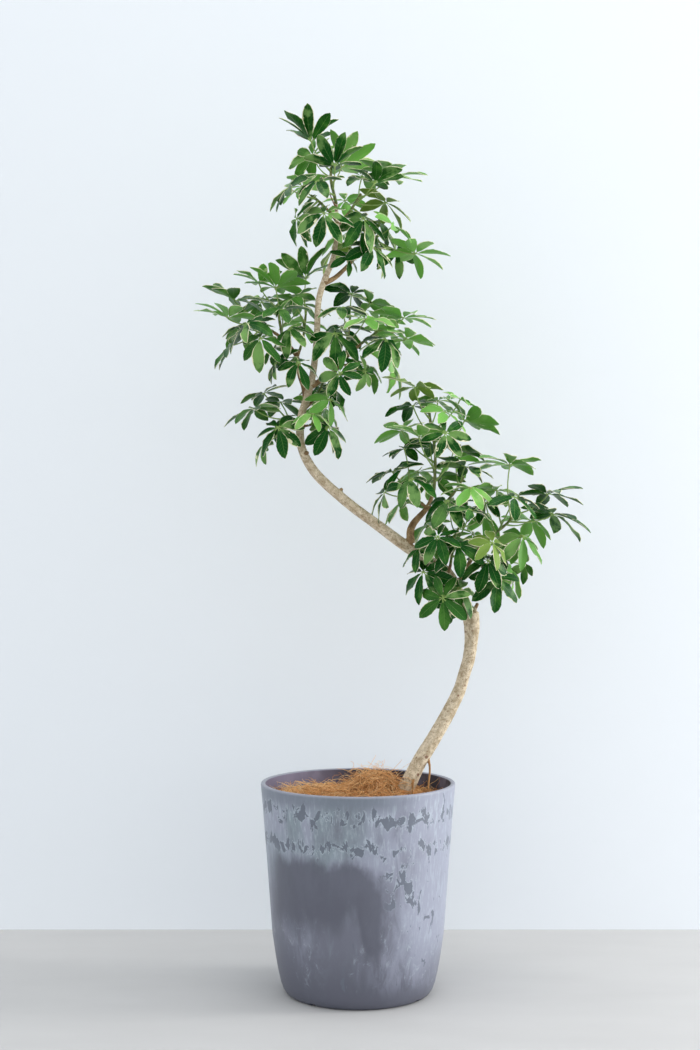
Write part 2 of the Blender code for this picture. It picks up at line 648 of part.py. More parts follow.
def make_mat():
    """A lumpy solid on the soil, with holes for the trunk and the small roots."""
    corners = []
    faces = []
    for ring, radius in enumerate(MAT_RINGS[1:]):
        for step in range(MAT_SIDES):
            turn = 2 * math.pi * (step + 0.5 * (ring % 2)) / MAT_SIDES
            x, y = radius * math.cos(turn), radius * math.sin(turn)
            corners.append(Vector((x, y, mat_height(x, y))) * MM)
    rings = len(MAT_RINGS) - 1
    rim = inner_radius(MAT_BED)
    for step in range(MAT_SIDES):
        turn = 2 * math.pi * step / MAT_SIDES
        x, y = math.cos(turn), math.sin(turn)
        height = mat_height(rim * x, rim * y)
        reach = inner_radius(height) * math.cos(math.pi / POT_SIDES) - 2 * GAP
        corners.append(Vector((x * reach, y * reach, height)) * MM)
    base = SOIL_TOP + GAP
    for step in range(MAT_SIDES):
        turn = 2 * math.pi * step / MAT_SIDES
        reach = inner_radius(base) * math.cos(math.pi / POT_SIDES) - 2 * GAP
        corners.append(Vector((reach * math.cos(turn), reach * math.sin(turn), base)) * MM)
    top = len(corners)
    corners.append(Vector((0.0, 0.0, mat_height(0.0, 0.0))) * MM)
    corners.append(Vector((0.0, 0.0, base)) * MM)
    for step in range(MAT_SIDES):
        beside = (step + 1) % MAT_SIDES
        faces.append((top, step, beside))
        for ring in range(rings + 1):
            here = ring * MAT_SIDES + step
            there = ring * MAT_SIDES + beside
            faces.append((here, here + MAT_SIDES, there + MAT_SIDES, there))
        bottom = (rings + 1) * MAT_SIDES
        faces.append((top + 1, bottom + beside, bottom + step))
    mat = mesh_object("fibre_mat", corners, faces, fibre_material())
    cut(mat, root_cutters((WOOD[0], WOOD[2], WOOD[3])))
    return mat


# Wood
def make_wood():
    finish = bark_material()
    pieces = []
    for limb in WOOD:
        shape = tube(route(limb.points), [radius * MM for radius in limb.radii], limb.sides)
        pieces.append(mesh_object(limb.name, *shape, finish))
    return join("trunk", pieces)


# Leaves
def leaf_frame(normal, outward):
    first = outward - normal * outward.dot(normal)
    if first.length < 1e-4:
        first = across(normal)
    first.normalize()
    return first, normal.cross(first)


def leaflets_of(plan):
    """Each leaflet of a leaf as named points: its rib's middle above and below, its widest sides and its tip."""
    draw = random.Random(plan["seed"])
    first, second = leaf_frame(plan["normal"], plan["outward"])
    count = plan["count"]
    found = []
    for number in range(count):
        turn = plan["spin"] + 2 * math.pi * (number + draw.uniform(-1, 1) * TURN_SPREAD) / count
        front = 0.5 + 0.5 * math.cos(turn)
        length = plan["size"] * (1 - BACK_SHORTER * (1 - front)) * draw.uniform(*LENGTH_SPREAD)
        lift = plan["lift"] + draw.uniform(-1, 1) * LIFT_SPREAD + LIFT_EVERY_OTHER * (number % 2)
        lift = math.radians(lift)
        bend = draw.uniform(*ARCH)
        roll = math.radians(plan["roll"] + draw.uniform(-1, 1) * BLADE_ROLL[1])
        out = math.cos(turn) * first + math.sin(turn) * second
        side = math.cos(turn) * second - math.sin(turn) * first
        ahead = math.cos(lift) * out + math.sin(lift) * plan["normal"]
        over = math.cos(lift) * plan["normal"] - math.sin(lift) * out
        level = math.cos(roll) * side + math.sin(roll) * over
        crown = math.cos(roll) * over - math.sin(roll) * side
        reach = WIDEST * length
        spread = 2 * math.pi / count
        room = reach * math.cos(lift) * math.tan(spread / 2)
        width = min(HALF_WIDTH * length, OVERLAP * room) * draw.uniform(*WIDTH_SPREAD)
        fold = math.radians(BLADE_FOLD)
        middle = plan["hub"] + ahead * reach - over * bend * reach * WIDEST
        edge = math.cos(fold) * level
        raised = crown * width * math.sin(fold)
        found.append({
            "turn": turn,
            "ahead": ahead,
            "over": over,
            "length": length,
            "width": width,
            "bend": bend,
            "rib": middle,
            "under": middle - crown * BLADE_THICKNESS * MM,
            "left": middle + edge * width + raised,
            "right": middle - edge * width + raised,
            "tip": plan["hub"] + ahead * length - over * bend * length,
        })
    return found


def petiole_line(plan, start):
    """The leaf stalk's route, from its root on the stem, bowed outward, up to just under the hub."""
    root = plan["root"]
    end = plan["hub"] - plan["normal"] * PETIOLE_END * MM
    bow = (plan["hub"] - root).length * PETIOLE_BOW
    control = (root + end) / 2 + plan["outward"] * bow - Vector((0, 0, 0.5)) * bow
    points = []
    for step in range(3):
        t = start + (1 - start) * step / 2
        points.append(root * (1 - t) ** 2 + control * 2 * t * (1 - t) + end * t ** 2)
    return points


def leaf_shape(plan, start=0.0):
    """Corners and faces of one closed leaf: leaflets out of one hub on a three-sided stalk."""
    leaflets = leaflets_of(plan)
    count = len(leaflets)
    first, second = leaf_frame(plan["normal"], plan["outward"])
    corners = [plan["hub"] + plan["normal"] * HUB_CROWN * MM]
    for number, leaflet in enumerate(leaflets):
        after = leaflets[(number + 1) % count]
        turn = leaflet["turn"] + ((after["turn"] - leaflet["turn"]) % (2 * math.pi)) / 2
        notch = math.cos(turn) * first + math.sin(turn) * second
        corners += [leaflet["rib"], leaflet["under"], leaflet["right"], leaflet["tip"], leaflet["left"]]
        corners.append(plan["hub"] + notch * HUB_REACH * MM - plan["normal"] * HUB_DIP * MM)
    faces = []
    for number in range(count):
        rib, under, right, tip, left, notch = (1 + 6 * number + step for step in range(6))
        before = 1 + 6 * ((number - 1) % count) + 5
        faces += [(0, before, rib), (before, right, rib), (right, tip, rib)]
        faces += [(tip, left, rib), (left, notch, rib), (notch, 0, rib)]
        faces += [(right, before, under), (tip, right, under), (left, tip, under), (notch, left, under)]
    line = petiole_line(plan, start)
    rings = []
    for index, (point, ahead, side) in enumerate(stations(line)):
        ring = []
        radius = (PETIOLE_ROOT_RADIUS if index == 0 else PETIOLE_RADIUS) * MM
        if index == 2:
            ahead = plan["normal"]
            side = first
        other = ahead.cross(side)
        for step in range(3):
            turn = 2 * math.pi * step / 3
            ring.append(len(corners))
            corners.append(point + radius * (math.cos(turn) * side + math.sin(turn) * other))
        rings.append(ring)
    # The last ring is turned so that its corners follow the ring before it
    best = min(range(3), key=lambda shift: sum(
        (corners[rings[1][step]] - line[1] - corners[rings[2][(step + shift) % 3]] + line[2]).length
        for step in range(3)))
    faces.append(tuple(rings[0][::-1]))
    for lower, upper, shift in ((rings[0], rings[1], 0), (rings[1], rings[2], best)):
        for step in range(3):
            here, beside = lower[step], lower[(step + 1) % 3]
            above, over = upper[(step + shift) % 3], upper[(step + 1 + shift) % 3]
            faces += [(here, beside, over), (here, over, above)]
    faces += hub_band(corners, leaflets, rings[2], count)
    return corners, faces


def hub_band(corners, leaflets, ring, count):
    """Triangles between the ring at the stalk's end and the loop of notches and lower ribs round it."""
    loop = []
    for number, leaflet in enumerate(leaflets):
        after = leaflets[(number + 1) % count]
        between = leaflet["turn"] + ((after["turn"] - leaflet["turn"]) % (2 * math.pi)) / 2
        loop.append((leaflet["turn"], 1 + 6 * number + 1))
        loop.append((between, 1 + 6 * number + 5))
    total = len(loop)
    faces = []
    owner = []
    for turn, _ in loop:
        owner.append(int(round(((turn % (2 * math.pi)) / (2 * math.pi)) * 3)) % 3)
    for index in range(total):
        here, there = loop[index][1], loop[(index + 1) % total][1]
        mine, next_one = owner[index], owner[(index + 1) % total]
        faces.append((there, here, ring[mine]))
        if next_one != mine:
            faces.append((there, ring[mine], ring[next_one]))
    return faces


def boxed(corners):
    low = Vector(min(corner[axis] for corner in corners) for axis in range(3))
    high = Vector(max(corner[axis] for corner in corners) for axis in range(3))
    return low, high


def swollen(corners, faces, room):
    """The corners pushed out square to the surface."""
    pushes = [Vector((0.0, 0.0, 0.0)) for _ in corners]
    for face in faces:
        a, b, c = (corners[index] for index in face[:3])
        square = (b - a).cross(c - a)
        if square.length > 0:
            square.normalize()
        for index in face:
            pushes[index] += square
    return [corner + push.normalized() * room for corner, push in zip(corners, pushes)]


def obstacle(corners, faces, owner):
    grown = swollen(corners, faces, ROOM_BETWEEN * MM)
    low, high = boxed(grown)
    return low, high, BVHTree.FromPolygons(grown, faces), owner


def crosses_itself(corners, faces):
    tree = BVHTree.FromPolygons(corners, faces, epsilon=0.0)
    for a, b in tree.overlap(tree):
        if a < b and not set(faces[a]) & set(faces[b]):
            return True
    return False


def meets(corners, faces, obstacles, own_stem):
    low, high = boxed(corners)
    tree = None
    for there_low, there_high, there, owner in obstacles:
        if owner == own_stem:
            continue
        if any(high[axis] < there_low[axis] or low[axis] > there_high[axis] for axis in range(3)):
            continue
        if tree is None:
            tree = BVHTree.FromPolygons(corners, faces)
        if tree.overlap(there):
            return True
    return False


def leaf_plan(shoot, number, leaf, attempt):
    """One leaf as it would stand at this attempt: the first as asked for, the later ones moved a little."""
    seed = SEED * 100003 + SHOOTS.index(shoot) * 1009 + number * 101
    draw = random.Random(seed * 131 + attempt)
    stem = stem_line(shoot)
    hub = Vector(leaf.hub) * MM
    share = (number + 0.7) / len(shoot.leaves)
    first, last = STEM_SPAN
    root, ahead = along(stem, first + (last - first) * share)
    ease = attempt / TRIES
    if attempt:
        push = Vector((draw.uniform(-1, 1), draw.uniform(-1, 1), draw.uniform(-1, 1)))
        hub = hub + push * (PUSH[0] + (PUSH[1] - PUSH[0]) * ease) * MM
    outward = hub - root
    outward = (outward - ahead * outward.dot(ahead)).normalized()
    size = leaf.size * MM * (1.0 if attempt < SMALLER_FROM else SMALLER_BY)
    count = FEWEST_LEAFLETS + sum(leaf.size >= size for size in MORE_LEAFLETS_FROM)
    normal = Vector((leaf.lean[0], leaf.lean[1], LEAN_UPRIGHT))
    normal += Vector((draw.uniform(-1, 1), draw.uniform(-1, 1), 0)) * (SWAY[0] + (SWAY[1] - SWAY[0]) * ease)
    normal = normal.normalized().lerp((hub - root).normalized(), TURN_TO_STALK * ease)
    return {
        "seed": seed,
        "shoot": shoot.name,
        "root": root,
        "hub": hub,
        "outward": outward,
        "normal": normal.normalized(),
        "spin": random.Random(seed).uniform(0, 6.28) + attempt * SPIN_STEP,
        "lift": leaf.lift * (1 - FLATTEN * ease) + (draw.uniform(-1, 1) * LIFT_TRIAL if attempt else 0),
        "roll": BLADE_ROLL[0] if number % 2 else -BLADE_ROLL[0],
        "size": size,
        "count": count,
    }


def along(points, share):
    """The point this share of the way along a route, and the direction there."""
    lengths = [(b - a).length for a, b in zip(points, points[1:])]
    left = share * sum(lengths)
    for index, length in enumerate(lengths):
        if left <= length or index == len(lengths) - 1:
            ahead = (points[index + 1] - points[index]).normalized()
            return points[index] + ahead * left, ahead
        left -= length


def ordered(shoot):
    """The leaves of a shoot in the order of their roots, the lowest along the stem first."""
    stem = route(shoot.points)
    ahead = (stem[-1] - stem[0]).normalized()
    return sorted(shoot.leaves, key=lambda leaf: (Vector(leaf.hub) * MM - stem[0]).dot(ahead))


def stem_line(shoot):
    """A stem's route: it starts a gap off the flat end of the wood that carries it and square to that end."""
    points = route(shoot.points)
    carrier = next(limb for limb in WOOD if limb.points[-1] == shoot.points[0])
    end, before = (Vector(point) * MM for point in (carrier.points[-1], carrier.points[-2]))
    ahead = (end - before).normalized()
    return [end + ahead * GAP * MM, end + ahead * STEM_LEAD * MM] + points[1:]


def stem_shape(shoot):
    points = stem_line(shoot)
    radii = [shoot.radius * MM * (1 - STEM_TAPER * step / (len(points) - 1)) for step in range(len(points))]
    last = (points[-1] - points[-2]).normalized()
    reach, radius = STEM_TIP
    points.append(points[-1] + last * reach * MM)
    radii.append(radius * MM)
    return tube(points, radii, STEM_SIDES)


def plan_plant():
    """Where every leaf stands: each is tried until it is clear of the wood, the stems and the leaves before it."""
    obstacles = []
    for limb in WOOD:
        corners, faces = tube(route(limb.points), [radius * MM for radius in limb.radii], limb.sides)
        obstacles.append(obstacle(corners, faces, "wood"))
    for shoot in SHOOTS:
        corners, faces = stem_shape(shoot)
        obstacles.append(obstacle(corners, faces, shoot.name))
    plans = []
    for shoot in SHOOTS:
        for number, leaf in enumerate(ordered(shoot)):
            for attempt in range(TRIES):
                plan = leaf_plan(shoot, number, leaf, attempt)
                start = min(0.4, (shoot.radius + 1.2) * MM / (plan["hub"] - plan["root"]).length)
                corners, faces = leaf_shape(plan, start)
                if crosses_itself(corners, faces) or meets(corners, faces, obstacles, shoot.name):
                    continue
                plans.append(plan)
                obstacles.append(obstacle(corners, faces, "leaf"))
                break
    return plans


def make_shoots():
    finish = leaf_material()
    plans = plan_plant()
    for shoot in SHOOTS:
        pieces = [mesh_object(shoot.name, *stem_shape(shoot), finish)]
        for plan in plans:
            if plan["shoot"] == shoot.name:
                pieces.append(mesh_object("leaf", *leaf_shape(plan), finish))
        join("shoot_" + shoot.name, pieces)
    print("leaves placed:", len(plans), "of", sum(len(shoot.leaves) for shoot in SHOOTS))


for old in list(bpy.data.objects):
    bpy.data.objects.remove(old)
make_pot()
make_soil()
make_mat()
make_wood()
make_shoots()
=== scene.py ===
# %% [markdown]
# # A potted milky schefflera
# A dwarf umbrella tree in a tapering resin floor pot. The imported solids give every size and place. This
# script dresses them: a marbled pot, curly palm fibre, a bark-covered trunk and some hundred palmate leaves.
# A first cell loads the solids.

# %% Load the solids
import json
import math
import random
from collections import namedtuple

import bmesh
import bpy
import numpy as np
from mathutils import Matrix, Vector, noise
from mathutils.kdtree import KDTree

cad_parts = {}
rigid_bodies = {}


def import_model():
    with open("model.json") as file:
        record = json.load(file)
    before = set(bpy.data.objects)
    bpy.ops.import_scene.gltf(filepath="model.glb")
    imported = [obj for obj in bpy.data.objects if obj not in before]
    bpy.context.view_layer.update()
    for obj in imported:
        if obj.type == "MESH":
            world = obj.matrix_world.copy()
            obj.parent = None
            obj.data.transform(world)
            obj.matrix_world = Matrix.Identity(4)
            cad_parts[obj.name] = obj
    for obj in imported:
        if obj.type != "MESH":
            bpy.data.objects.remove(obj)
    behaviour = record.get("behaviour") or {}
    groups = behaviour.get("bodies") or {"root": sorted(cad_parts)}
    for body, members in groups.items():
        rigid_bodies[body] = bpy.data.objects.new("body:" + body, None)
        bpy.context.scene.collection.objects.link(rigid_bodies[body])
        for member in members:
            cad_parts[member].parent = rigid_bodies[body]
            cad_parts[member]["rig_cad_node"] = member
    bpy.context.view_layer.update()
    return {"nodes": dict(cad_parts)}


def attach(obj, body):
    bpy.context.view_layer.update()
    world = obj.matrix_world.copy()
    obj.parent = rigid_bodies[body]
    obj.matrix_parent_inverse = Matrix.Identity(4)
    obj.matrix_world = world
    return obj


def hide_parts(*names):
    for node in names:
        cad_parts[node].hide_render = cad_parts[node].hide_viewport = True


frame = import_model()
MM = 0.001

# %% [markdown]
# ## Camera
# The photographer stood about three metres away with a level camera at table height, a little left of the
# pot's axis. A level camera keeps the wall's and the pot's upright lines upright, so the pot shows only a
# slim oval of its mouth. The lens follows from how tall the plant stands in the tall frame.

# %% Camera
CAMERA_PLACE = (-0.0143, -3.0, 0.826)
CAMERA_LENS = 57.9


def make_camera():
    camera = bpy.data.objects.new("camera", bpy.data.cameras.new("camera"))
    camera.data.lens = CAMERA_LENS
    camera.data.sensor_width = 36.0
    camera.location = CAMERA_PLACE
    camera.rotation_euler = (math.pi / 2, 0.0, 0.0)
    bpy.context.scene.collection.objects.link(camera)
    bpy.context.scene.camera = camera
    return camera


print("camera:", make_camera().name, CAMERA_PLACE)

# %% [markdown]
# ## Small helpers for materials
# Every finish is a tree of shader nodes around one Principled shader. Three short helpers keep those trees
# readable: one starts a material, one adds a node and plugs its inputs, and one blends two colours.


# %% Material helpers
class Finish:
    """A material under way: its node tree and its Principled shader."""

    def __init__(self, name, roughness):
        self.material = bpy.data.materials.new(name)
        self.material.use_nodes = True
        self.tree = self.material.node_tree
        self.shader = self.tree.nodes["Principled BSDF"]
        self.shader.inputs["Roughness"].default_value = roughness

    def node(self, kind, inputs=None, **settings):
        """Adds a node, sets its options, and fills its inputs with values or with other nodes' outputs."""
        made = self.tree.nodes.new("ShaderNode" + kind)
        for name, value in settings.items():
            setattr(made, name, value)
        for key, value in (inputs or {}).items():
            self.plug(value, made.inputs[key])
        return made

    def plug(self, value, socket):
        if isinstance(value, bpy.types.NodeSocket):
            self.tree.links.new(value, socket)
        else:
            socket.default_value = value

    def place(self, scale=(1.0, 1.0, 1.0)):
        """The point in the plant's own space, stretched."""
        there = self.node("TexCoord").outputs["Object"]
        return self.node("Mapping", {"Vector": there, "Scale": scale}).outputs[0]

    def noise(self, vector, scale, detail=4.0, roughness=0.55, distortion=0.0):
        made = self.node("TexNoise", {
            "Vector": vector, "Scale": scale, "Detail": detail, "Roughness": roughness, "Distortion": distortion})
        return made.outputs["Fac"]

    def step(self, value, low, high):
        """0 below low, 1 above high, smooth between."""
        made = self.node("MapRange", {"Value": value, "From Min": low, "From Max": high},
                         interpolation_type="SMOOTHSTEP")
        return made.outputs["Result"]

    def math(self, operation, *values):
        made = self.node("Math", dict(enumerate(values)), operation=operation)
        return made.outputs[0]

    def mix(self, share, first, second, blend="MIX"):
        """Two colours blended by a share from 0 to 1."""
        made = self.node("Mix", {0: share, 6: colour(first), 7: colour(second)}, data_type="RGBA",
                         blend_type=blend)
        return made.outputs[2]

    def bump(self, height, distance, strength=1.0):
        made = self.node("Bump", {"Height": height, "Distance": distance, "Strength": strength})
        self.plug(made.outputs[0], self.shader.inputs["Normal"])

    def coat(self, base):
        self.plug(base, self.shader.inputs["Base Color"])
        return self.material


def colour(value):
    """A colour given as 0 to 255 screen values becomes the linear values that a shader takes."""
    if isinstance(value, bpy.types.NodeSocket):
        return value
    return tuple((v / 255 / 12.92 if v < 10.3 else ((v / 255 + 0.055) / 1.055) ** 2.4) for v in value) + (1.0,)


print("helpers ready")

# %% [markdown]
# ## Floor, wall and light
# The plant stands on a pale grey floor before a pale wall, beside a tall window. A tall lamp at the right is
# that window, so that light rakes over the wall and catches the pot's right side. A wide weak lamp overhead
# puts a sheen on the leaves, and the world fills the shade. The wall is clear from behind, so that the plant
# can be looked at from the back as well. Floor and wall are a stage and no part of the plant. The standard
# view shows colours as they are mixed, where the film-like one would grey the wall.

# %% Stage
WALL_BEHIND = 0.45
STAGE_REACH = 6.0
FLOOR_COLOUR = (198, 197, 196)
WALL_COLOUR = (238, 242, 246)
SKY = 1.07
# Name, place, the point that it faces, width and height in metres, and power in watts
LAMPS = (("window", (3.2, -0.1, 1.1), (0.0, -0.3, 0.6), (0.8, 2.4), 68.0),
         ("overhead", (0.3, -0.1, 4.6), (0.1, -0.2, 0.0), (2.4, 1.6), 52.0))


def stage_plane(name, tint, mottling):
    """A wide square plane with a faintly mottled matte finish."""
    shape = bmesh.new()
    bmesh.ops.create_grid(shape, x_segments=1, y_segments=1, size=STAGE_REACH)
    mesh = bpy.data.meshes.new(name)
    shape.to_mesh(mesh)
    shape.free()
    plane = bpy.data.objects.new(name, mesh)
    bpy.context.scene.collection.objects.link(plane)
    finish = Finish(name, 0.85)
    cloud = finish.noise(finish.place((1.0, 3.0, 1.0)), 3.0, detail=6.0)
    darker = tuple(value - mottling for value in tint)
    mesh.materials.append(finish.coat(finish.mix(cloud, tint, darker)))
    return plane, finish


def make_stage():
    floor, _ = stage_plane("floor", FLOOR_COLOUR, 12)
    floor.location = (0.0, 0.0, -0.0005)
    wall, finish = stage_plane("wall", WALL_COLOUR, 1)
    wall.rotation_euler = (math.pi / 2, 0.0, 0.0)
    wall.location = (0.0, WALL_BEHIND, STAGE_REACH - 0.01)
    clear = finish.node("BsdfTransparent").outputs[0]
    behind = finish.node("NewGeometry").outputs["Backfacing"]
    either = finish.node("MixShader", {0: behind, 1: finish.shader.outputs[0], 2: clear}).outputs[0]
    finish.plug(either, finish.tree.nodes["Material Output"].inputs["Surface"])
    return floor, wall


def make_light():
    """The window at the right, the weak lamp overhead, and a pale sky all round."""
    for name, place, target, (width, height), power in LAMPS:
        lamp = bpy.data.lights.new(name, "AREA")
        lamp.shape = "RECTANGLE"
        lamp.size = width
        lamp.size_y = height
        lamp.energy = power
        lamp.color = (1.0, 0.99, 0.975)
        holder = bpy.data.objects.new(name, lamp)
        bpy.context.scene.collection.objects.link(holder)
        holder.location = place
        holder.rotation_euler = (Vector(target) - Vector(place)).to_track_quat("-Z", "Y").to_euler()
        holder.visible_camera = False
    world = bpy.data.worlds.new("daylight")
    world.use_nodes = True
    world.node_tree.nodes["Background"].inputs["Color"].default_value = (0.93, 0.965, 1.0, 1.0)
    world.node_tree.nodes["Background"].inputs["Strength"].default_value = SKY
    bpy.context.scene.world = world
    bpy.context.scene.view_settings.view_transform = "Standard"


print("stage:", [piece.name for piece in make_stage()])
make_light()

# %% [markdown]
# ## Straight sticks bent along routes
# Stalks, stems, branches and fibres are all round rods that taper. One template does for all of them: a
# circle extruded ring by ring into a straight stick whose height counts its rings. Bending it is then a
# matter of moving each ring to its station on a route. That is cheaper than a curve object for each, and
# keeps every rod a closed shape.


# %% Sticks
def straight_stick(sides, rings):
    """A closed stick of unit radius whose rings lie one apart along Z."""
    shape = bmesh.new()
    bmesh.ops.create_circle(shape, cap_ends=True, segments=sides, radius=1.0)
    shape.faces.ensure_lookup_table()
    end = shape.faces[0]
    for step in range(rings - 1):
        grown = bmesh.ops.extrude_face_region(shape, geom=[end])
        ring = [part for part in grown["geom"] if isinstance(part, bmesh.types.BMVert)]
        bmesh.ops.translate(shape, verts=ring, vec=(0.0, 0.0, 1.0))
        if step:
            bmesh.ops.delete(shape, geom=[end], context="FACES_ONLY")
        end = next(part for part in grown["geom"] if isinstance(part, bmesh.types.BMFace))
    bmesh.ops.recalc_face_normals(shape, faces=shape.faces)
    stick = bpy.data.meshes.new("stick")
    shape.to_mesh(stick)
    shape.free()
    return stick


def bend(shape, stick, line, radii, tone=None):
    """Adds a copy of the stick to a shape, bent along a route, with the radius given at each ring."""
    start = len(shape.verts)
    shape.from_mesh(stick)
    shape.verts.ensure_lookup_table()
    rings = stations(line)
    mark = shape.verts.layers.float_color.get("tone")
    for vert in shape.verts[start:]:
        ring = round(vert.co.z)
        point, ahead, side = rings[ring]
        across_it = vert.co.x * side + vert.co.y * ahead.cross(side)
        vert.co = point + radii[ring] * across_it
        if tone:
            vert[mark] = tone


def smooth_line(points, radii, steps):
    """A route and its radii with extra stations on a smooth curve through the given ones."""
    line = []
    sizes = []
    padded = [2 * points[0] - points[1]] + list(points) + [2 * points[-1] - points[-2]]
    for index in range(len(points) - 1):
        a, b, c, d = padded[index:index + 4]
        for step in range(steps):
            t = step / steps
            line.append(0.5 * (2 * b + (c - a) * t + (2 * a - 5 * b + 4 * c - d) * t * t
                               + (3 * b - a - 3 * c + d) * t ** 3))
            sizes.append(radii[index] * (1 - t) + radii[index + 1] * t)
    return line + [points[-1]], sizes + [radii[-1]]


def finished(name, shape, finishes, sharp=50):
    """A piece at the origin out of a finished shape, smooth except at sharp edges."""
    mesh = bpy.data.meshes.new(name)
    shape.to_mesh(mesh)
    shape.free()
    piece = bpy.data.objects.new(name, mesh)
    bpy.context.scene.collection.objects.link(piece)
    for finish in finishes:
        mesh.materials.append(finish)
    mesh.shade_smooth()
    mesh.set_sharp_from_angle(angle=math.radians(sharp))
    return piece


def evaluated_mesh(piece):
    graph = bpy.context.evaluated_depsgraph_get()
    return bpy.data.meshes.new_from_object(piece.evaluated_get(graph))


def count(piece):
    return sum(len(face.vertices) - 2 for face in piece.data.polygons)


print("stick of six sides:", len(straight_stick(6, 7).polygons), "faces")

# %% [markdown]
# ## Routes
# The plant's wood and its shoots follow routes of points in millimetres, the same ones as the solids. A
# limb is one rod of wood. A shoot is a green stem, and round it the hub of each leaf, the way the leaf
# leans, how far its leaflets lift and how long they are.

# %% Routes of the wood and the shoots
Limb = namedtuple("Limb", "name sides points radii")
Shoot = namedtuple("Shoot", "name radius points leaves")
Leaf = namedtuple("Leaf", "hub lean lift size")

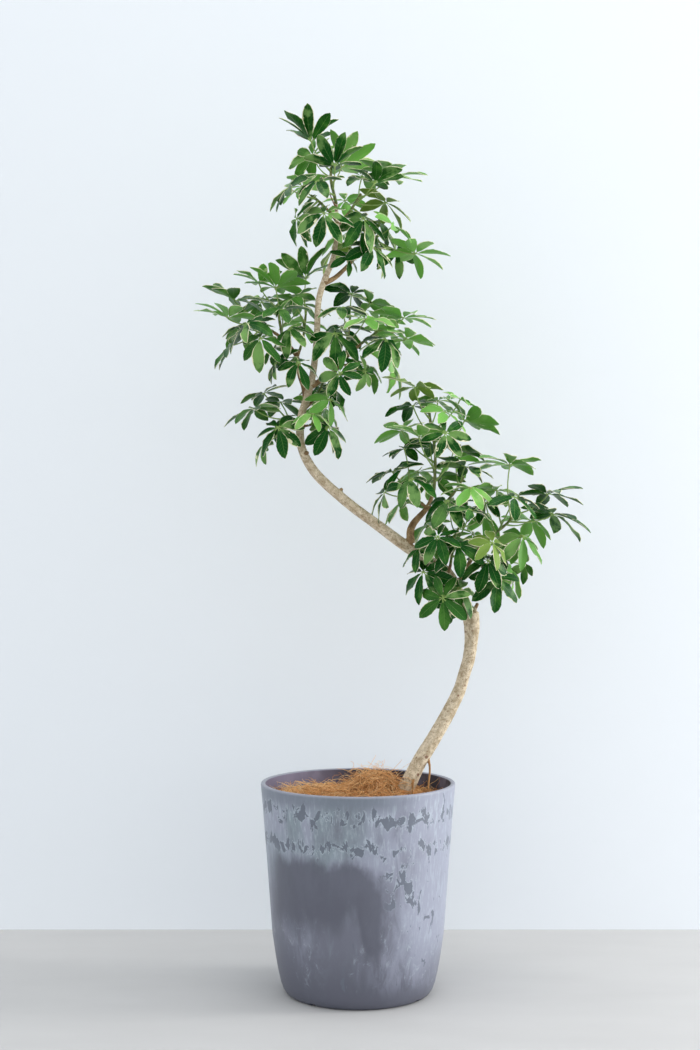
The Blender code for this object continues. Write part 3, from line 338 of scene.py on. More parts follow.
# The wood: a lower trunk, an upper trunk out of its cut shoulder, branches, spurs, stubs and two roots
WOOD = (
    Limb("lower trunk", 8, (
        (28, 0, 256), (60, 0, 311), (82, 0, 352), (106, 2, 400), (122, 4, 426),
        (138, 6, 452), (154, 8, 479), (168, 10, 505), (181, 12, 532), (189, 12, 559),
        (197, 12, 585), (201, 11, 612), (203, 10, 643), (202, 10, 671),
    ), (15.5, 16, 15, 13.5, 13.2, 12.8, 12.6, 12, 11.6, 11, 11.2, 11.5, 14, 13.5)),
    Limb("upper trunk", 7, (
        (199, 10, 650), (192, 9, 684), (178, 7, 705), (158, 5, 741), (128, 3, 760),
        (87, 0, 787), (37, -4, 824), (-14, -8, 862), (-55, -12, 897), (-78, -14, 921),
        (-95, -17, 950), (-102, -19, 976), (-101, -21, 1015), (-91, -23, 1048), (-80, -24, 1090),
        (-73, -25, 1153), (-70, -22, 1219), (-59, -20, 1259), (-47, -17, 1288), (-40, -14, 1319),
        (-37, -10, 1355), (-39, -6, 1395),
    ), (
        11, 11, 11, 10.8, 10.6, 10, 9.6, 9.3, 9, 8.6, 8,
        7.4, 6.9, 6.6, 6.1, 5.7, 5.5, 5.4, 4.9, 4.3, 3.7, 3.1,
    )),
    Limb("aerial root", 5, (
        (121, 4, 423), (126, -4, 406), (127, -8, 390), (125, -10, 371), (123, -10, 345),
    ), (2.6, 2.3, 2.1, 2, 1.9)),
    Limb("small root", 5, (
        (101, 2, 387), (98, -13, 374), (95, -18, 346),
    ), (2.4, 2, 1.8)),
    Limb("pruned stub", 6, (
        (205, 8, 657), (208, 6, 675), (213, 4, 687),
    ), (3.8, 3.6, 3.2)),
    Limb("knob", 6, (
        (-97, -18, 950), (-88, -27, 954),
    ), (4.2, 3)),
    Limb("old bud", 6, (
        (-36, -10, 880), (-28, -11, 891),
    ), (4, 3)),
    Limb("dry twig", 5, (
        (-39, -6, 1388), (-46, -12, 1402), (-51, -14, 1414),
    ), (1.9, 1.5, 1.2)),
    Limb("side branch", 6, (
        (-58, -20, 1253), (-41, -8, 1264), (-27, 2, 1278), (-15, 8, 1291), (-5, 12, 1304),
        (9, 18, 1322),
    ), (5, 4.4, 4, 3.7, 3.4, 3)),
    Limb("side spur", 5, (
        (-16, 8, 1290), (-18, 16, 1300), (-17, 20, 1310),
    ), (2.9, 2.8, 2.7)),
    Limb("top left spur", 5, (
        (-37, -9, 1362), (-48, -4, 1379), (-57, -2, 1388),
    ), (3.1, 3, 2.8)),
    Limb("top right spur", 5, (
        (-37, -10, 1350), (-27, 0, 1367), (-18, 4, 1379),
    ), (3.2, 3, 2.9)),
    Limb("left branch", 6, (
        (-92, -22, 1050), (-96, -12, 1071), (-102, -4, 1088), (-105, 2, 1102), (-109, 10, 1125),
        (-121, 16, 1144), (-137, 14, 1160), (-151, 10, 1170),
    ), (5.6, 5.2, 4.9, 4.7, 4.3, 3.8, 3.3, 3)),
    Limb("left high spur", 5, (
        (-109, 10, 1123), (-104, 18, 1139),
    ), (2.9, 2.7)),
    Limb("left upper spur", 5, (
        (-123, 16, 1145), (-132, 22, 1153),
    ), (2.9, 2.8)),
    Limb("left low spur", 5, (
        (-106, 3, 1107), (-115, -10, 1113),
    ), (2.9, 2.8)),
    Limb("right branch", 6, (
        (-80, -23, 1071), (-61, -12, 1086), (-48, -4, 1094), (-37, 4, 1105), (-30, 10, 1115),
        (-13, 18, 1133), (5, 22, 1150),
    ), (5.2, 4.6, 4.3, 4, 3.7, 3.3, 3)),
    Limb("right upper spur", 5, (
        (-28, 11, 1117), (-21, 24, 1128),
    ), (2.9, 2.8)),
    Limb("right low spur", 5, (
        (-32, 8, 1112), (-23, 0, 1110), (-16, -8, 1111),
    ), (2.9, 2.8, 2.7)),
    Limb("low left spur", 5, (
        (-101, -20, 1001), (-111, -19, 1004),
    ), (2.8, 2.6)),
    Limb("low right spur", 5, (
        (-101, -20, 999), (-87, -20, 1002),
    ), (2.7, 2.5)),
    Limb("low green spur", 5, (
        (-90, -22, 1034), (-81, -16, 1043),
    ), (2.8, 2.6)),
    Limb("crown branch", 6, (
        (94, -1, 794), (93, 0, 815), (101, 1, 832), (122, 3, 855), (129, 5, 869),
        (132, 6, 878),
    ), (7.4, 7, 6.2, 4.6, 3.8, 3.4)),
    Limb("crown left spur", 5, (
        (123, 3, 856), (112, 2, 865),
    ), (2.9, 2.8)),
    Limb("crown middle spur", 5, (
        (124, 3, 858), (135, -2, 854), (145, -6, 856),
    ), (3.1, 3, 2.9)),
    Limb("crown right branch", 6, (
        (176, 6, 717), (189, 8, 742), (206, 9, 771), (228, 10, 798),
    ), (4.8, 4.2, 3.6, 3.2)),
    Limb("crown right spur", 5, (
        (205, 9, 767), (220, -4, 759), (231, -14, 754),
    ), (3, 2.9, 2.8)),
    Limb("crown front spur", 5, (
        (160, 5, 739), (162, -14, 750), (163, -26, 759),
    ), (3.3, 3.1, 2.9)),
    Limb("crown back spur", 5, (
        (153, 4, 746), (155, 20, 755), (160, 34, 763),
    ), (3.3, 3.1, 2.9)),
    Limb("crown low left spur", 5, (
        (137, 3, 757), (133, -10, 761), (130, -20, 763),
    ), (3.2, 3, 2.8)),
    Limb("crown low spur", 5, (
        (178, 7, 714), (180, -15, 716), (179, -30, 721),
    ), (3.2, 3, 2.8)),
    Limb("shoulder spur", 5, (
        (192, 8, 671), (186, -6, 670), (183, -16, 672),
    ), (3, 2.8, 2.5)),
)

# The leafy shoots: a stem and the hub, lean, lift and size of each leaf round it
SHOOTS = (
    Shoot("top_leader", 2.9, ((-39, -6, 1395), (-43, -6, 1414), (-48, -4, 1436), (-48, -2, 1459)), (
        Leaf((-95, -25, 1491), (0.1, 0.35), 62, 74),
        Leaf((-65, 45, 1471), (-0.6, 0.2), 8, 66),
        Leaf((-20, 5, 1463), (0.1, 0.5), 66, 76),
        Leaf((-41, -45, 1454), (-0.1, 0.5), 40, 62),
        Leaf((-70, -70, 1424), (-0.4, -0.35), -10, 56),
    )),
    Shoot("top_left", 2.6, ((-57, -2, 1388), (-68, 2, 1400), (-82, 8, 1412)), (
        Leaf((-131, -5, 1420), (0.0, 0.3), 12, 68),
        Leaf((-101, 70, 1442), (-0.2, 0.24), 10, 60),
        Leaf((-90, -40, 1383), (-0.5, 0.08), -15, 58),
        Leaf((-82, 10, 1362), (-0.5, -0.21), -29, 66),
        Leaf((-58, -75, 1361), (-0.1, -1.0), -27, 62),
    )),
    Shoot("top_right", 2.7, ((-18, 4, 1379), (-7, 8, 1396), (4, 14, 1415)), (
        Leaf((64, 5, 1441), (0.1, 0.16), 20, 70),
        Leaf((28, -45, 1424), (0.2, 0.12), 25, 60),
        Leaf((50, 15, 1402), (0.5, 0.12), -4, 64),
        Leaf((41, 30, 1369), (0.5, 0.16), -25, 56),
        Leaf((3, -65, 1359), (0.2, -0.9), -26, 60),
        Leaf((8, 85, 1459), (0.2, 0.2), 10, 60),
        Leaf((-24, 115, 1425), (-0.1, 0.24), -5, 56),
    )),
    Shoot("side_tip", 2.6, ((9, 18, 1322), (21, 22, 1334), (34, 28, 1344)), (
        Leaf((102, 20, 1314), (0.05, 0.12), 12, 66),
        Leaf((47, -25, 1342), (0.3, 0.1), 0, 58),
        Leaf((69, 75, 1339), (0.4, 0.2), -10, 56),
        Leaf((35, -50, 1306), (0.3, -0.35), -30, 58),
        Leaf((30, 5, 1288), (0.2, 0.12), -22, 50),
    )),
    Shoot("side_inner", 2.4, ((-17, 20, 1310), (-15, 24, 1325), (-16, 27, 1338)), (
        Leaf((-29, 75, 1352), (-0.3, 0.24), -10, 54),
        Leaf((-11, -50, 1334), (0.1, -0.35), -22, 54),
        Leaf((-40, 50, 1319), (-0.4, 0.16), -22, 50),
        Leaf((0, -25, 1278), (0.1, -0.28), -20, 46),
    )),
    Shoot("left_tip", 2.7, ((-151, 10, 1170), (-166, 8, 1178), (-181, 6, 1189)), (
        Leaf((-235, 5, 1192), (0.05, 0.14), 12, 70),
        Leaf((-216, 20, 1228), (0.15, 0.14), 14, 74),
        Leaf((-213, -5, 1145), (-0.05, 0.08), 4, 66),
        Leaf((-184, -70, 1185), (-0.3, -0.28), 0, 60),
        Leaf((-166, -85, 1149), (-0.3, -0.35), -21, 58),
        Leaf((-197, 85, 1182), (-0.4, 0.24), -15, 60),
    )),
    Shoot("left_upper", 2.7, ((-132, 22, 1153), (-138, 26, 1177), (-142, 30, 1201), (-143, 32, 1221)), (
        Leaf((-147, 30, 1251), (0.0, 0.2), 28, 66),
        Leaf((-179, 50, 1263), (-0.05, 0.4), 46, 56),
        Leaf((-105, 75, 1230), (0.2, 0.24), 5, 60),
        Leaf((-132, -40, 1204), (-0.1, -0.28), 5, 58),
        Leaf((-176, 110, 1235), (-0.4, 0.24), -5, 58),
    )),
    Shoot("left_high", 2.4, ((-104, 18, 1139), (-98, 24, 1162), (-95, 30, 1190), (-93, 34, 1212)), (
        Leaf((-92, 35, 1266), (-0.05, 0.35), 44, 68),
        Leaf((-119, 0, 1225), (-0.3, -0.14), 0, 56),
        Leaf((-100, 95, 1198), (0.1, 0.24), -10, 56),
        Leaf((-123, -45, 1167), (-0.2, -0.35), -20, 54),
    )),
    Shoot("left_low", 2.6, ((-115, -10, 1113), (-125, -22, 1106), (-137, -34, 1102)), (
        Leaf((-132, -74, 1120), (-0.3, -0.8), -25, 52),
        Leaf((-153, -30, 1127), (-0.4, -0.28), -24, 58),
        Leaf((-103, -75, 1108), (0.1, -1.0), -28, 54),
        Leaf((-139, 10, 1147), (-0.3, 0.08), -10, 54),
    )),
    Shoot("right_tip", 2.7, ((5, 22, 1150), (21, 24, 1162), (38, 26, 1175)), (
        Leaf((63, 25, 1171), (0.2, 0.08), 2, 66),
        Leaf((78, 10, 1195), (0.1, 0.12), 8, 64),
        Leaf((47, -55, 1152), (0.3, -0.42), -30, 60),
        Leaf((40, 80, 1203), (0.3, 0.24), 5, 60),
        Leaf((55, 15, 1128), (0.4, 0.04), -16, 66),
        Leaf((81, -25, 1150), (0.2, 0.04), 0, 60),
    )),
    Shoot("right_upper", 2.6, ((-21, 24, 1128), (-20, 30, 1154), (-16, 34, 1180), (-14, 38, 1202)), (
        Leaf((-11, 50, 1236), (0.1, 0.2), 18, 60),
        Leaf((21, 25, 1223), (0.3, 0.16), 15, 58),
        Leaf((-40, -52, 1161), (-0.1, -1.0), -25, 62),
        Leaf((-23, -30, 1207), (-0.1, -0.28), -12, 56),
        Leaf((15, -55, 1183), (0.3, -0.35), -10, 56),
        Leaf((-33, 105, 1193), (-0.2, 0.24), -5, 58),
    )),
    Shoot("right_low", 2.5, ((-16, -8, 1111), (-7, -18, 1105), (2, -30, 1098)), (
        Leaf((6, -74, 1113), (0.2, -0.8), -25, 50),
        Leaf((-30, -66, 1116), (-0.1, -1.0), -28, 58),
        Leaf((21, 5, 1105), (0.5, 0.08), -29, 54),
        Leaf((-23, -20, 1085), (0.1, -0.21), -32, 48),
    )),
    Shoot("low_left", 2.2, ((-111, -19, 1004), (-120, -18, 1010), (-129, -16, 1015)), (
        Leaf((-184, -10, 1033), (-0.25, 0.08), -8, 62),
        Leaf((-138, 20, 1046), (-0.2, 0.2), -5, 56),
        Leaf((-142, -45, 999), (-0.2, -1.2), -25, 60),
        Leaf((-163, 20, 990), (-0.3, -0.42), -27, 54),
        Leaf((-126, 40, 1000), (-0.1, -0.9), -27, 54),
        Leaf((-170, 50, 1064), (-0.3, 0.2), 5, 52),
    )),
    Shoot("low_right", 2.2, ((-87, -20, 1002), (-76, -18, 1008), (-67, -16, 1013)), (
        Leaf((-75, 25, 994), (0.0, -1.3), -23, 56),
        Leaf((-54, 20, 1042), (0.8, 0.04), -22, 64),
        Leaf((-53, -45, 996), (0.3, -1.1), -25, 60),
        Leaf((-79, -60, 1021), (0.1, -0.35), -20, 46),
    )),
    Shoot("low_green", 2.3, ((-81, -16, 1043), (-74, -8, 1054), (-66, 0, 1071), (-59, 6, 1086)), (
        Leaf((-36, 30, 1070), (0.4, 0.12), -22, 47),
        Leaf((-72, 60, 1081), (-0.1, 0.24), -15, 50),
        Leaf((-44, -35, 1056), (0.3, -0.28), -25, 52),
    )),
    Shoot("crown_leader", 2.9, (
        (132, 6, 878), (136, 5, 895), (137, 4, 926), (137, 3, 959), (131, 2, 993), (127, 1, 1023),
    ), (
        Leaf((97, -12, 1072), (0.1, 0.3), 10, 60),
        Leaf((156, -40, 1024), (0.4, -0.3), -8, 52),
        Leaf((179, -8, 1046), (0.1, 0.0), 4, 46),
        Leaf((107, -40, 980), (0.1, 0.08), 22, 64),
        Leaf((170, -10, 960), (0.2, 0.12), 20, 62),
        Leaf((196, 15, 1001), (0.45, 0.12), 24, 68),
        Leaf((160, -62, 1000), (0.2, -0.7), -18, 58),
        Leaf((80, 50, 996), (-0.1, 0.2), 8, 58),
        Leaf((145, 60, 1052), (0.1, 0.2), 2, 52),
        Leaf((94, 60, 1040), (-0.2, 0.2), 5, 54),
        Leaf((131, 75, 981), (0.1, 0.24), -5, 58),
    )),
    Shoot("crown_left", 2.6, ((112, 2, 865), (99, 0, 876), (85, -2, 886)), (
        Leaf((68, 10, 913), (-0.1, 0.12), 8, 64),
        Leaf((56, -15, 881), (-0.15, 0.12), 4, 64),
        Leaf((95, 30, 943), (-0.1, 0.16), 10, 60),
        Leaf((93, -65, 904), (-0.2, -0.35), -24, 60),
        Leaf((109, 65, 922), (-0.2, 0.24), 0, 58),
        Leaf((79, 45, 864), (-0.4, 0.16), -12, 56),
    )),
    Shoot("crown_middle", 2.7, ((145, -6, 856), (161, -8, 872), (175, -8, 890), (186, -8, 909)), (
        Leaf((186, -10, 930), (0.3, 0.08), -5, 64),
        Leaf((154, -75, 869), (0.0, -0.35), -22, 62),
        Leaf((194, -60, 892), (0.3, -0.28), -12, 60),
        Leaf((143, 55, 911), (-0.3, 0.2), -10, 58),
        Leaf((184, 50, 862), (0.1, 0.24), -15, 58),
        Leaf((167, 60, 940), (0.0, 0.2), 5, 54),
    )),
    Shoot("crown_right", 2.8, ((228, 10, 798), (248, 12, 814), (267, 14, 830), (282, 14, 849)), (
        Leaf((348, 15, 846), (0.25, 0.1), 2, 72),
        Leaf((338, 10, 881), (0.15, 0.12), 6, 70),
        Leaf((271, 15, 933), (0.05, 0.12), 12, 74),
        Leaf((289, -40, 807), (0.4, -0.8), -25, 62),
        Leaf((314, 80, 835), (0.5, 0.2), -8, 62),
        Leaf((273, -60, 875), (0.2, -0.28), -12, 60),
        Leaf((252, 65, 889), (0.0, 0.24), 5, 60),
        Leaf((233, -35, 882), (-0.2, -0.21), 5, 58),
    )),
    Shoot("crown_low_left", 2.5, ((130, -20, 763), (118, -30, 761), (108, -40, 759)), (
        Leaf((112, -70, 745), (-0.4, -0.9), -27, 64),
        Leaf((110, -50, 789), (-0.5, 0.0), -12, 58),
    )),
    Shoot("crown_low", 2.5, ((179, -30, 721), (173, -42, 724), (169, -52, 730)), (
        Leaf((159, -75, 724), (-0.1, -1.1), -26, 64),
        Leaf((187, -60, 723), (0.4, -0.9), -27, 58),
        Leaf((135, -58, 716), (-0.4, -0.8), -25, 46),
    )),
    Shoot("crown_right_low", 2.6, ((231, -14, 754), (247, -18, 761), (261, -20, 770)), (
        Leaf((269, -25, 780), (0.4, -0.14), -25, 60),
        Leaf((237, -50, 733), (0.2, -1.1), -27, 60),
        Leaf((295, 22, 771), (0.5, 0.08), -23, 48),
        Leaf((223, -92, 766), (0.1, -1.0), -28, 58),
        Leaf((262, 10, 733), (0.6, -0.28), -29, 58),
    )),
    Shoot("crown_front", 2.6, ((163, -26, 759), (165, -36, 775), (171, -46, 791), (177, -54, 809)), (
        Leaf((171, -100, 787), (0.0, -1.0), -28, 62),
        Leaf((206, -95, 811), (0.3, -0.42), -29, 60),
        Leaf((146, -85, 809), (-0.3, -0.42), -29, 60),
        Leaf((190, -80, 855), (0.1, -0.14), -10, 54),
        Leaf((217, -78, 786), (0.4, -1.0), -27, 60),
    )),
    Shoot("crown_back", 2.6, ((160, 34, 763), (166, 50, 784), (176, 62, 806), (187, 72, 828)), (
        Leaf((207, 120, 798), (0.2, 0.24), -25, 60),
        Leaf((151, 105, 802), (-0.3, 0.24), -25, 60),
        Leaf((225, 105, 839), (0.4, 0.2), -12, 60),
        Leaf((174, 120, 848), (-0.1, 0.24), -8, 60),
        Leaf((127, 70, 830), (-0.5, 0.16), -21, 56),
    )),
    Shoot("shoulder_shoot", 2.2, ((183, -16, 672), (183, -24, 676), (184, -30, 682)), (
        Leaf((185, -42, 681), (0.1, -0.42), -36, 46),
    )),
)


# Materials


# %% [markdown]
# ## Stations along a route
# A rod needs a direction and a side vector at each ring. The side vector is carried from ring to ring, so
# that the rod doesn't twist where its route bends.


# %% Stations
def route(points):
    return [Vector(point) * MM for point in points]


def across(direction):
    """A unit vector square to this direction, with no sudden turn as the direction leans."""
    start = Vector((0.0, -1.0, 0.0)) if abs(direction.y) < 0.9 else Vector((1.0, 0.0, 0.0))
    return (start - direction * start.dot(direction)).normalized()


def stations(points):
    """Each route point with the direction there and a side vector carried along the route."""
    found = []
    side = None
    for index, point in enumerate(points):
        ahead = points[min(index + 1, len(points) - 1)] - points[max(index - 1, 0)]
        ahead.normalize()
        side = across(ahead) if side is None else (side - ahead * side.dot(ahead)).normalized()
        found.append((point, ahead, side))
    return found


print("limbs:", len(WOOD), "shoots:", len(SHOOTS), "leaves:", sum(len(shoot.leaves) for shoot in SHOOTS))


# %% [markdown]
# ## Pot
# A cast resin pot: a flat foot with a round edge, a wall that opens towards the top, and a rounded rim. It
# is a turned shape, so its outline is spun round the axis in fine steps. Drain holes and the shallow
# channels under the foot are cut with Booleans, as a drill and a mould would leave them.

# %% Pot shape
POT_OUTER = ((125.0, 0.0), (128.6, 2.6), (132.9, 8.9), (136.9, 19.5), (141.8, 40.8), (145.6, 62.0),
             (152.0, 104.5), (155.2, 147.0), (161.3, 232.0), (168.3, 320.0), (172.2, 364.5))
POT_RIM = ((172.5, 366.8), (172.2, 368.7), (171.0, 369.8), (169.2, 370.0), (167.0, 370.0), (165.4, 369.6),
           (164.5, 368.4), (164.2, 366.4))
POT_INNER = ((153.3, 232.0), (133.5, 45.0), (130.0, 20.0), (124.0, 12.0))
POT_FLOOR = 12.0
POT_STEPS = 96
DRAIN_HOLES = 4
DRAIN_HOLE_RADIUS = 7.0
DRAIN_HOLE_REACH = 85.0
DRAIN_CHANNEL = (12.0, 4.0)
DRAIN_TURN = -37.5


def turned(profile, steps):
    """A shape spun from an outline that starts and ends on the axis."""
    shape = bmesh.new()
    line = [shape.verts.new((radius * MM, 0.0, height * MM)) for radius, height in profile]
    edges = [shape.edges.new(pair) for pair in zip(line, line[1:])]
    bmesh.ops.spin(shape, geom=line + edges, cent=(0, 0, 0), axis=(0, 0, 1), angle=2 * math.pi, steps=steps,
                   use_merge=True)
    bmesh.ops.remove_doubles(shape, verts=shape.verts, dist=1e-6)
    bmesh.ops.recalc_face_normals(shape, faces=shape.faces)
    return shape


def cutter(shape):
    mesh = bpy.data.meshes.new("cutter")
    shape.to_mesh(mesh)
    shape.free()
    tool = bpy.data.objects.new("cutter", mesh)
    bpy.context.scene.collection.objects.link(tool)
    return tool


def drain_tools():
    """A drill and a channel block for each drain hole."""
    tools = []
    width, depth = (side * MM for side in DRAIN_CHANNEL)
    for number in range(DRAIN_HOLES):
        turn = math.radians(DRAIN_TURN - 90 + 360 * number / DRAIN_HOLES)
        outward = Vector((math.cos(turn), math.sin(turn), 0.0))
        drill = bmesh.new()
        bmesh.ops.create_cone(drill, cap_ends=True, segments=24, radius1=DRAIN_HOLE_RADIUS * MM,
                              radius2=DRAIN_HOLE_RADIUS * MM, depth=0.06)
        bmesh.ops.translate(drill, verts=drill.verts, vec=outward * DRAIN_HOLE_REACH * MM)
        tools.append(cutter(drill))
        block = bmesh.new()
        bmesh.ops.create_cube(block, size=1.0)
        bmesh.ops.scale(block, verts=block.verts, vec=(0.08, width, 2 * depth))
        bmesh.ops.translate(block, verts=block.verts, vec=(DRAIN_HOLE_REACH * MM + 0.04, 0.0, 0.0))
        bmesh.ops.rotate(block, verts=block.verts, cent=(0, 0, 0),
                         matrix=Matrix.Rotation(turn, 3, "Z"))
        tools.append(cutter(block))
    return tools


def make_pot(finishes):
    shape = turned(((0.0, 0.0),) + POT_OUTER + POT_RIM + POT_INNER + ((0.0, POT_FLOOR),), POT_STEPS)
    for face in shape.faces:
        middle = face.calc_center_median()
        outside = face.normal.dot(Vector((middle.x, middle.y, 0.0))) > 0 or middle.z < 0.5 * POT_FLOOR * MM
        face.material_index = 0 if outside or middle.z > 0.3675 else 1
    pot = finished("marbled_pot", shape, finishes)
    tools = drain_tools()
    for tool in tools:
        hole = pot.modifiers.new("hole", "BOOLEAN")
        hole.operation = "DIFFERENCE"
        hole.object = tool
    drilled = evaluated_mesh(pot)
    pot.modifiers.clear()
    pot.data = drilled
    for tool in tools:
        bpy.data.objects.remove(tool)
    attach(pot, "root")
    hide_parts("pot")
    return pot

# %% [markdown]
# ## Marbled resin
# The resin is a matte purple grey under a thin pale wash that ran down the wall. Where the wash tore it left
# dark flakes with sharp pale edges, in two uneven bands under the rim and in a field at the front right. One
# broad patch at the front left was rubbed smooth and dark, and a dark run leaves it downwards beside a pale
# tongue. Noise stretched upright makes the runs and, under a sharp step, the flakes. The patch, the run and
# the tongue are windows on the plant's own coordinates with roughened edges.

# %% Resin finish
RESIN_DARK = (92, 94, 107)
RESIN_BASE = (114, 116, 130)
RESIN_WASH = (156, 160, 177)
RESIN_GREEN_WASH = (142, 156, 164)
RESIN_PALE = (190, 202, 212)
RESIN_FLAKE = (104, 111, 124)
PATCH_RIGHT = 0.046
PATCH_LEFT = -0.147
PATCH_TOP = 0.258
PATCH_CORNER = 0.06
PATCH_FLOOR = 0.146
RUN = (0.008, 0.042, 0.060)
TONGUE = (-0.024, 0.002, 0.024)


def window(finish, value, low, high, soft):
    """1 between two values and 0 outside them, with soft shoulders."""
    rise = finish.step(value, low - soft, low + soft)
    fall = finish.step(value, high + soft, high - soft)
    return finish.math("MULTIPLY", rise, fall)


def rubbed_patch(finish, x, y, z):
    """1 on the dark patch at the front left: a round upper right corner, and an uneven lower edge."""
    rough = finish.noise(finish.place((1, 1, 0.45)), 30.0, detail=6.0, roughness=0.6)
    rough = finish.math("MULTIPLY", finish.math("SUBTRACT", rough, 0.5), 0.07)
    right = finish.math("MAXIMUM", finish.math("SUBTRACT", x, PATCH_RIGHT - PATCH_CORNER), 0.0)
    top = finish.math("MAXIMUM", finish.math("SUBTRACT", z, PATCH_TOP - PATCH_CORNER), 0.0)
    corner = finish.math("SQRT", finish.math("ADD", finish.math("POWER", right, 2.0), finish.math("POWER", top, 2.0)))
    inside = finish.step(finish.math("ADD", corner, finish.math("MULTIPLY", rough, 0.8)),
                         PATCH_CORNER + 0.013, PATCH_CORNER - 0.015)
    left = finish.step(x, PATCH_LEFT - 0.012, PATCH_LEFT + 0.012)
    run = finish.math("MULTIPLY", window(finish, x, RUN[0], RUN[1], 0.010), RUN[2])
    tongue = finish.math("MULTIPLY", window(finish, x, TONGUE[0], TONGUE[1], 0.009), TONGUE[2])
    edge = finish.math("SUBTRACT", finish.math("ADD", tongue, PATCH_FLOOR), run)
    height = finish.math("SUBTRACT", finish.math("ADD", z, rough), edge)
    front = finish.math("MULTIPLY", finish.step(y, 0.02, -0.03), left)
    return finish.math("MULTIPLY", finish.math("MULTIPLY", inside, finish.step(height, -0.03, 0.022)), front)


def torn_flakes(finish, x, y, z):
    """1 on the dark flakes, and 1 on the pale rims round them."""
    scraps = finish.noise(finish.place((1.15, 1.15, 0.6)), 52.0, detail=4.0, roughness=0.6, distortion=0.9)
    waver = finish.noise(finish.place((1.0, 1.0, 0.0)), 16.0, detail=2.0)
    level = finish.math("MULTIPLY_ADD", finish.math("SUBTRACT", waver, 0.5), 0.07, z)
    bands = finish.math("MAXIMUM", window(finish, level, 0.314, 0.344, 0.009), window(finish, level, 0.264, 0.288, 0.009))
    field = finish.math("MULTIPLY", window(finish, z, 0.175, 0.262, 0.015), window(finish, x, 0.044, 0.105, 0.01))
    where = finish.math("MAXIMUM", bands, finish.math("MULTIPLY", field, 0.9))
    level = finish.math("SUBTRACT", 0.66, finish.math("MULTIPLY", where, 0.155))
    over = finish.math("SUBTRACT", scraps, level)
    flake = finish.step(over, 0.0, 0.012)
    rim = finish.math("MULTIPLY", finish.step(over, -0.045, -0.005), finish.math("SUBTRACT", 1.0, flake))
    return flake, finish.math("MULTIPLY", rim, where)


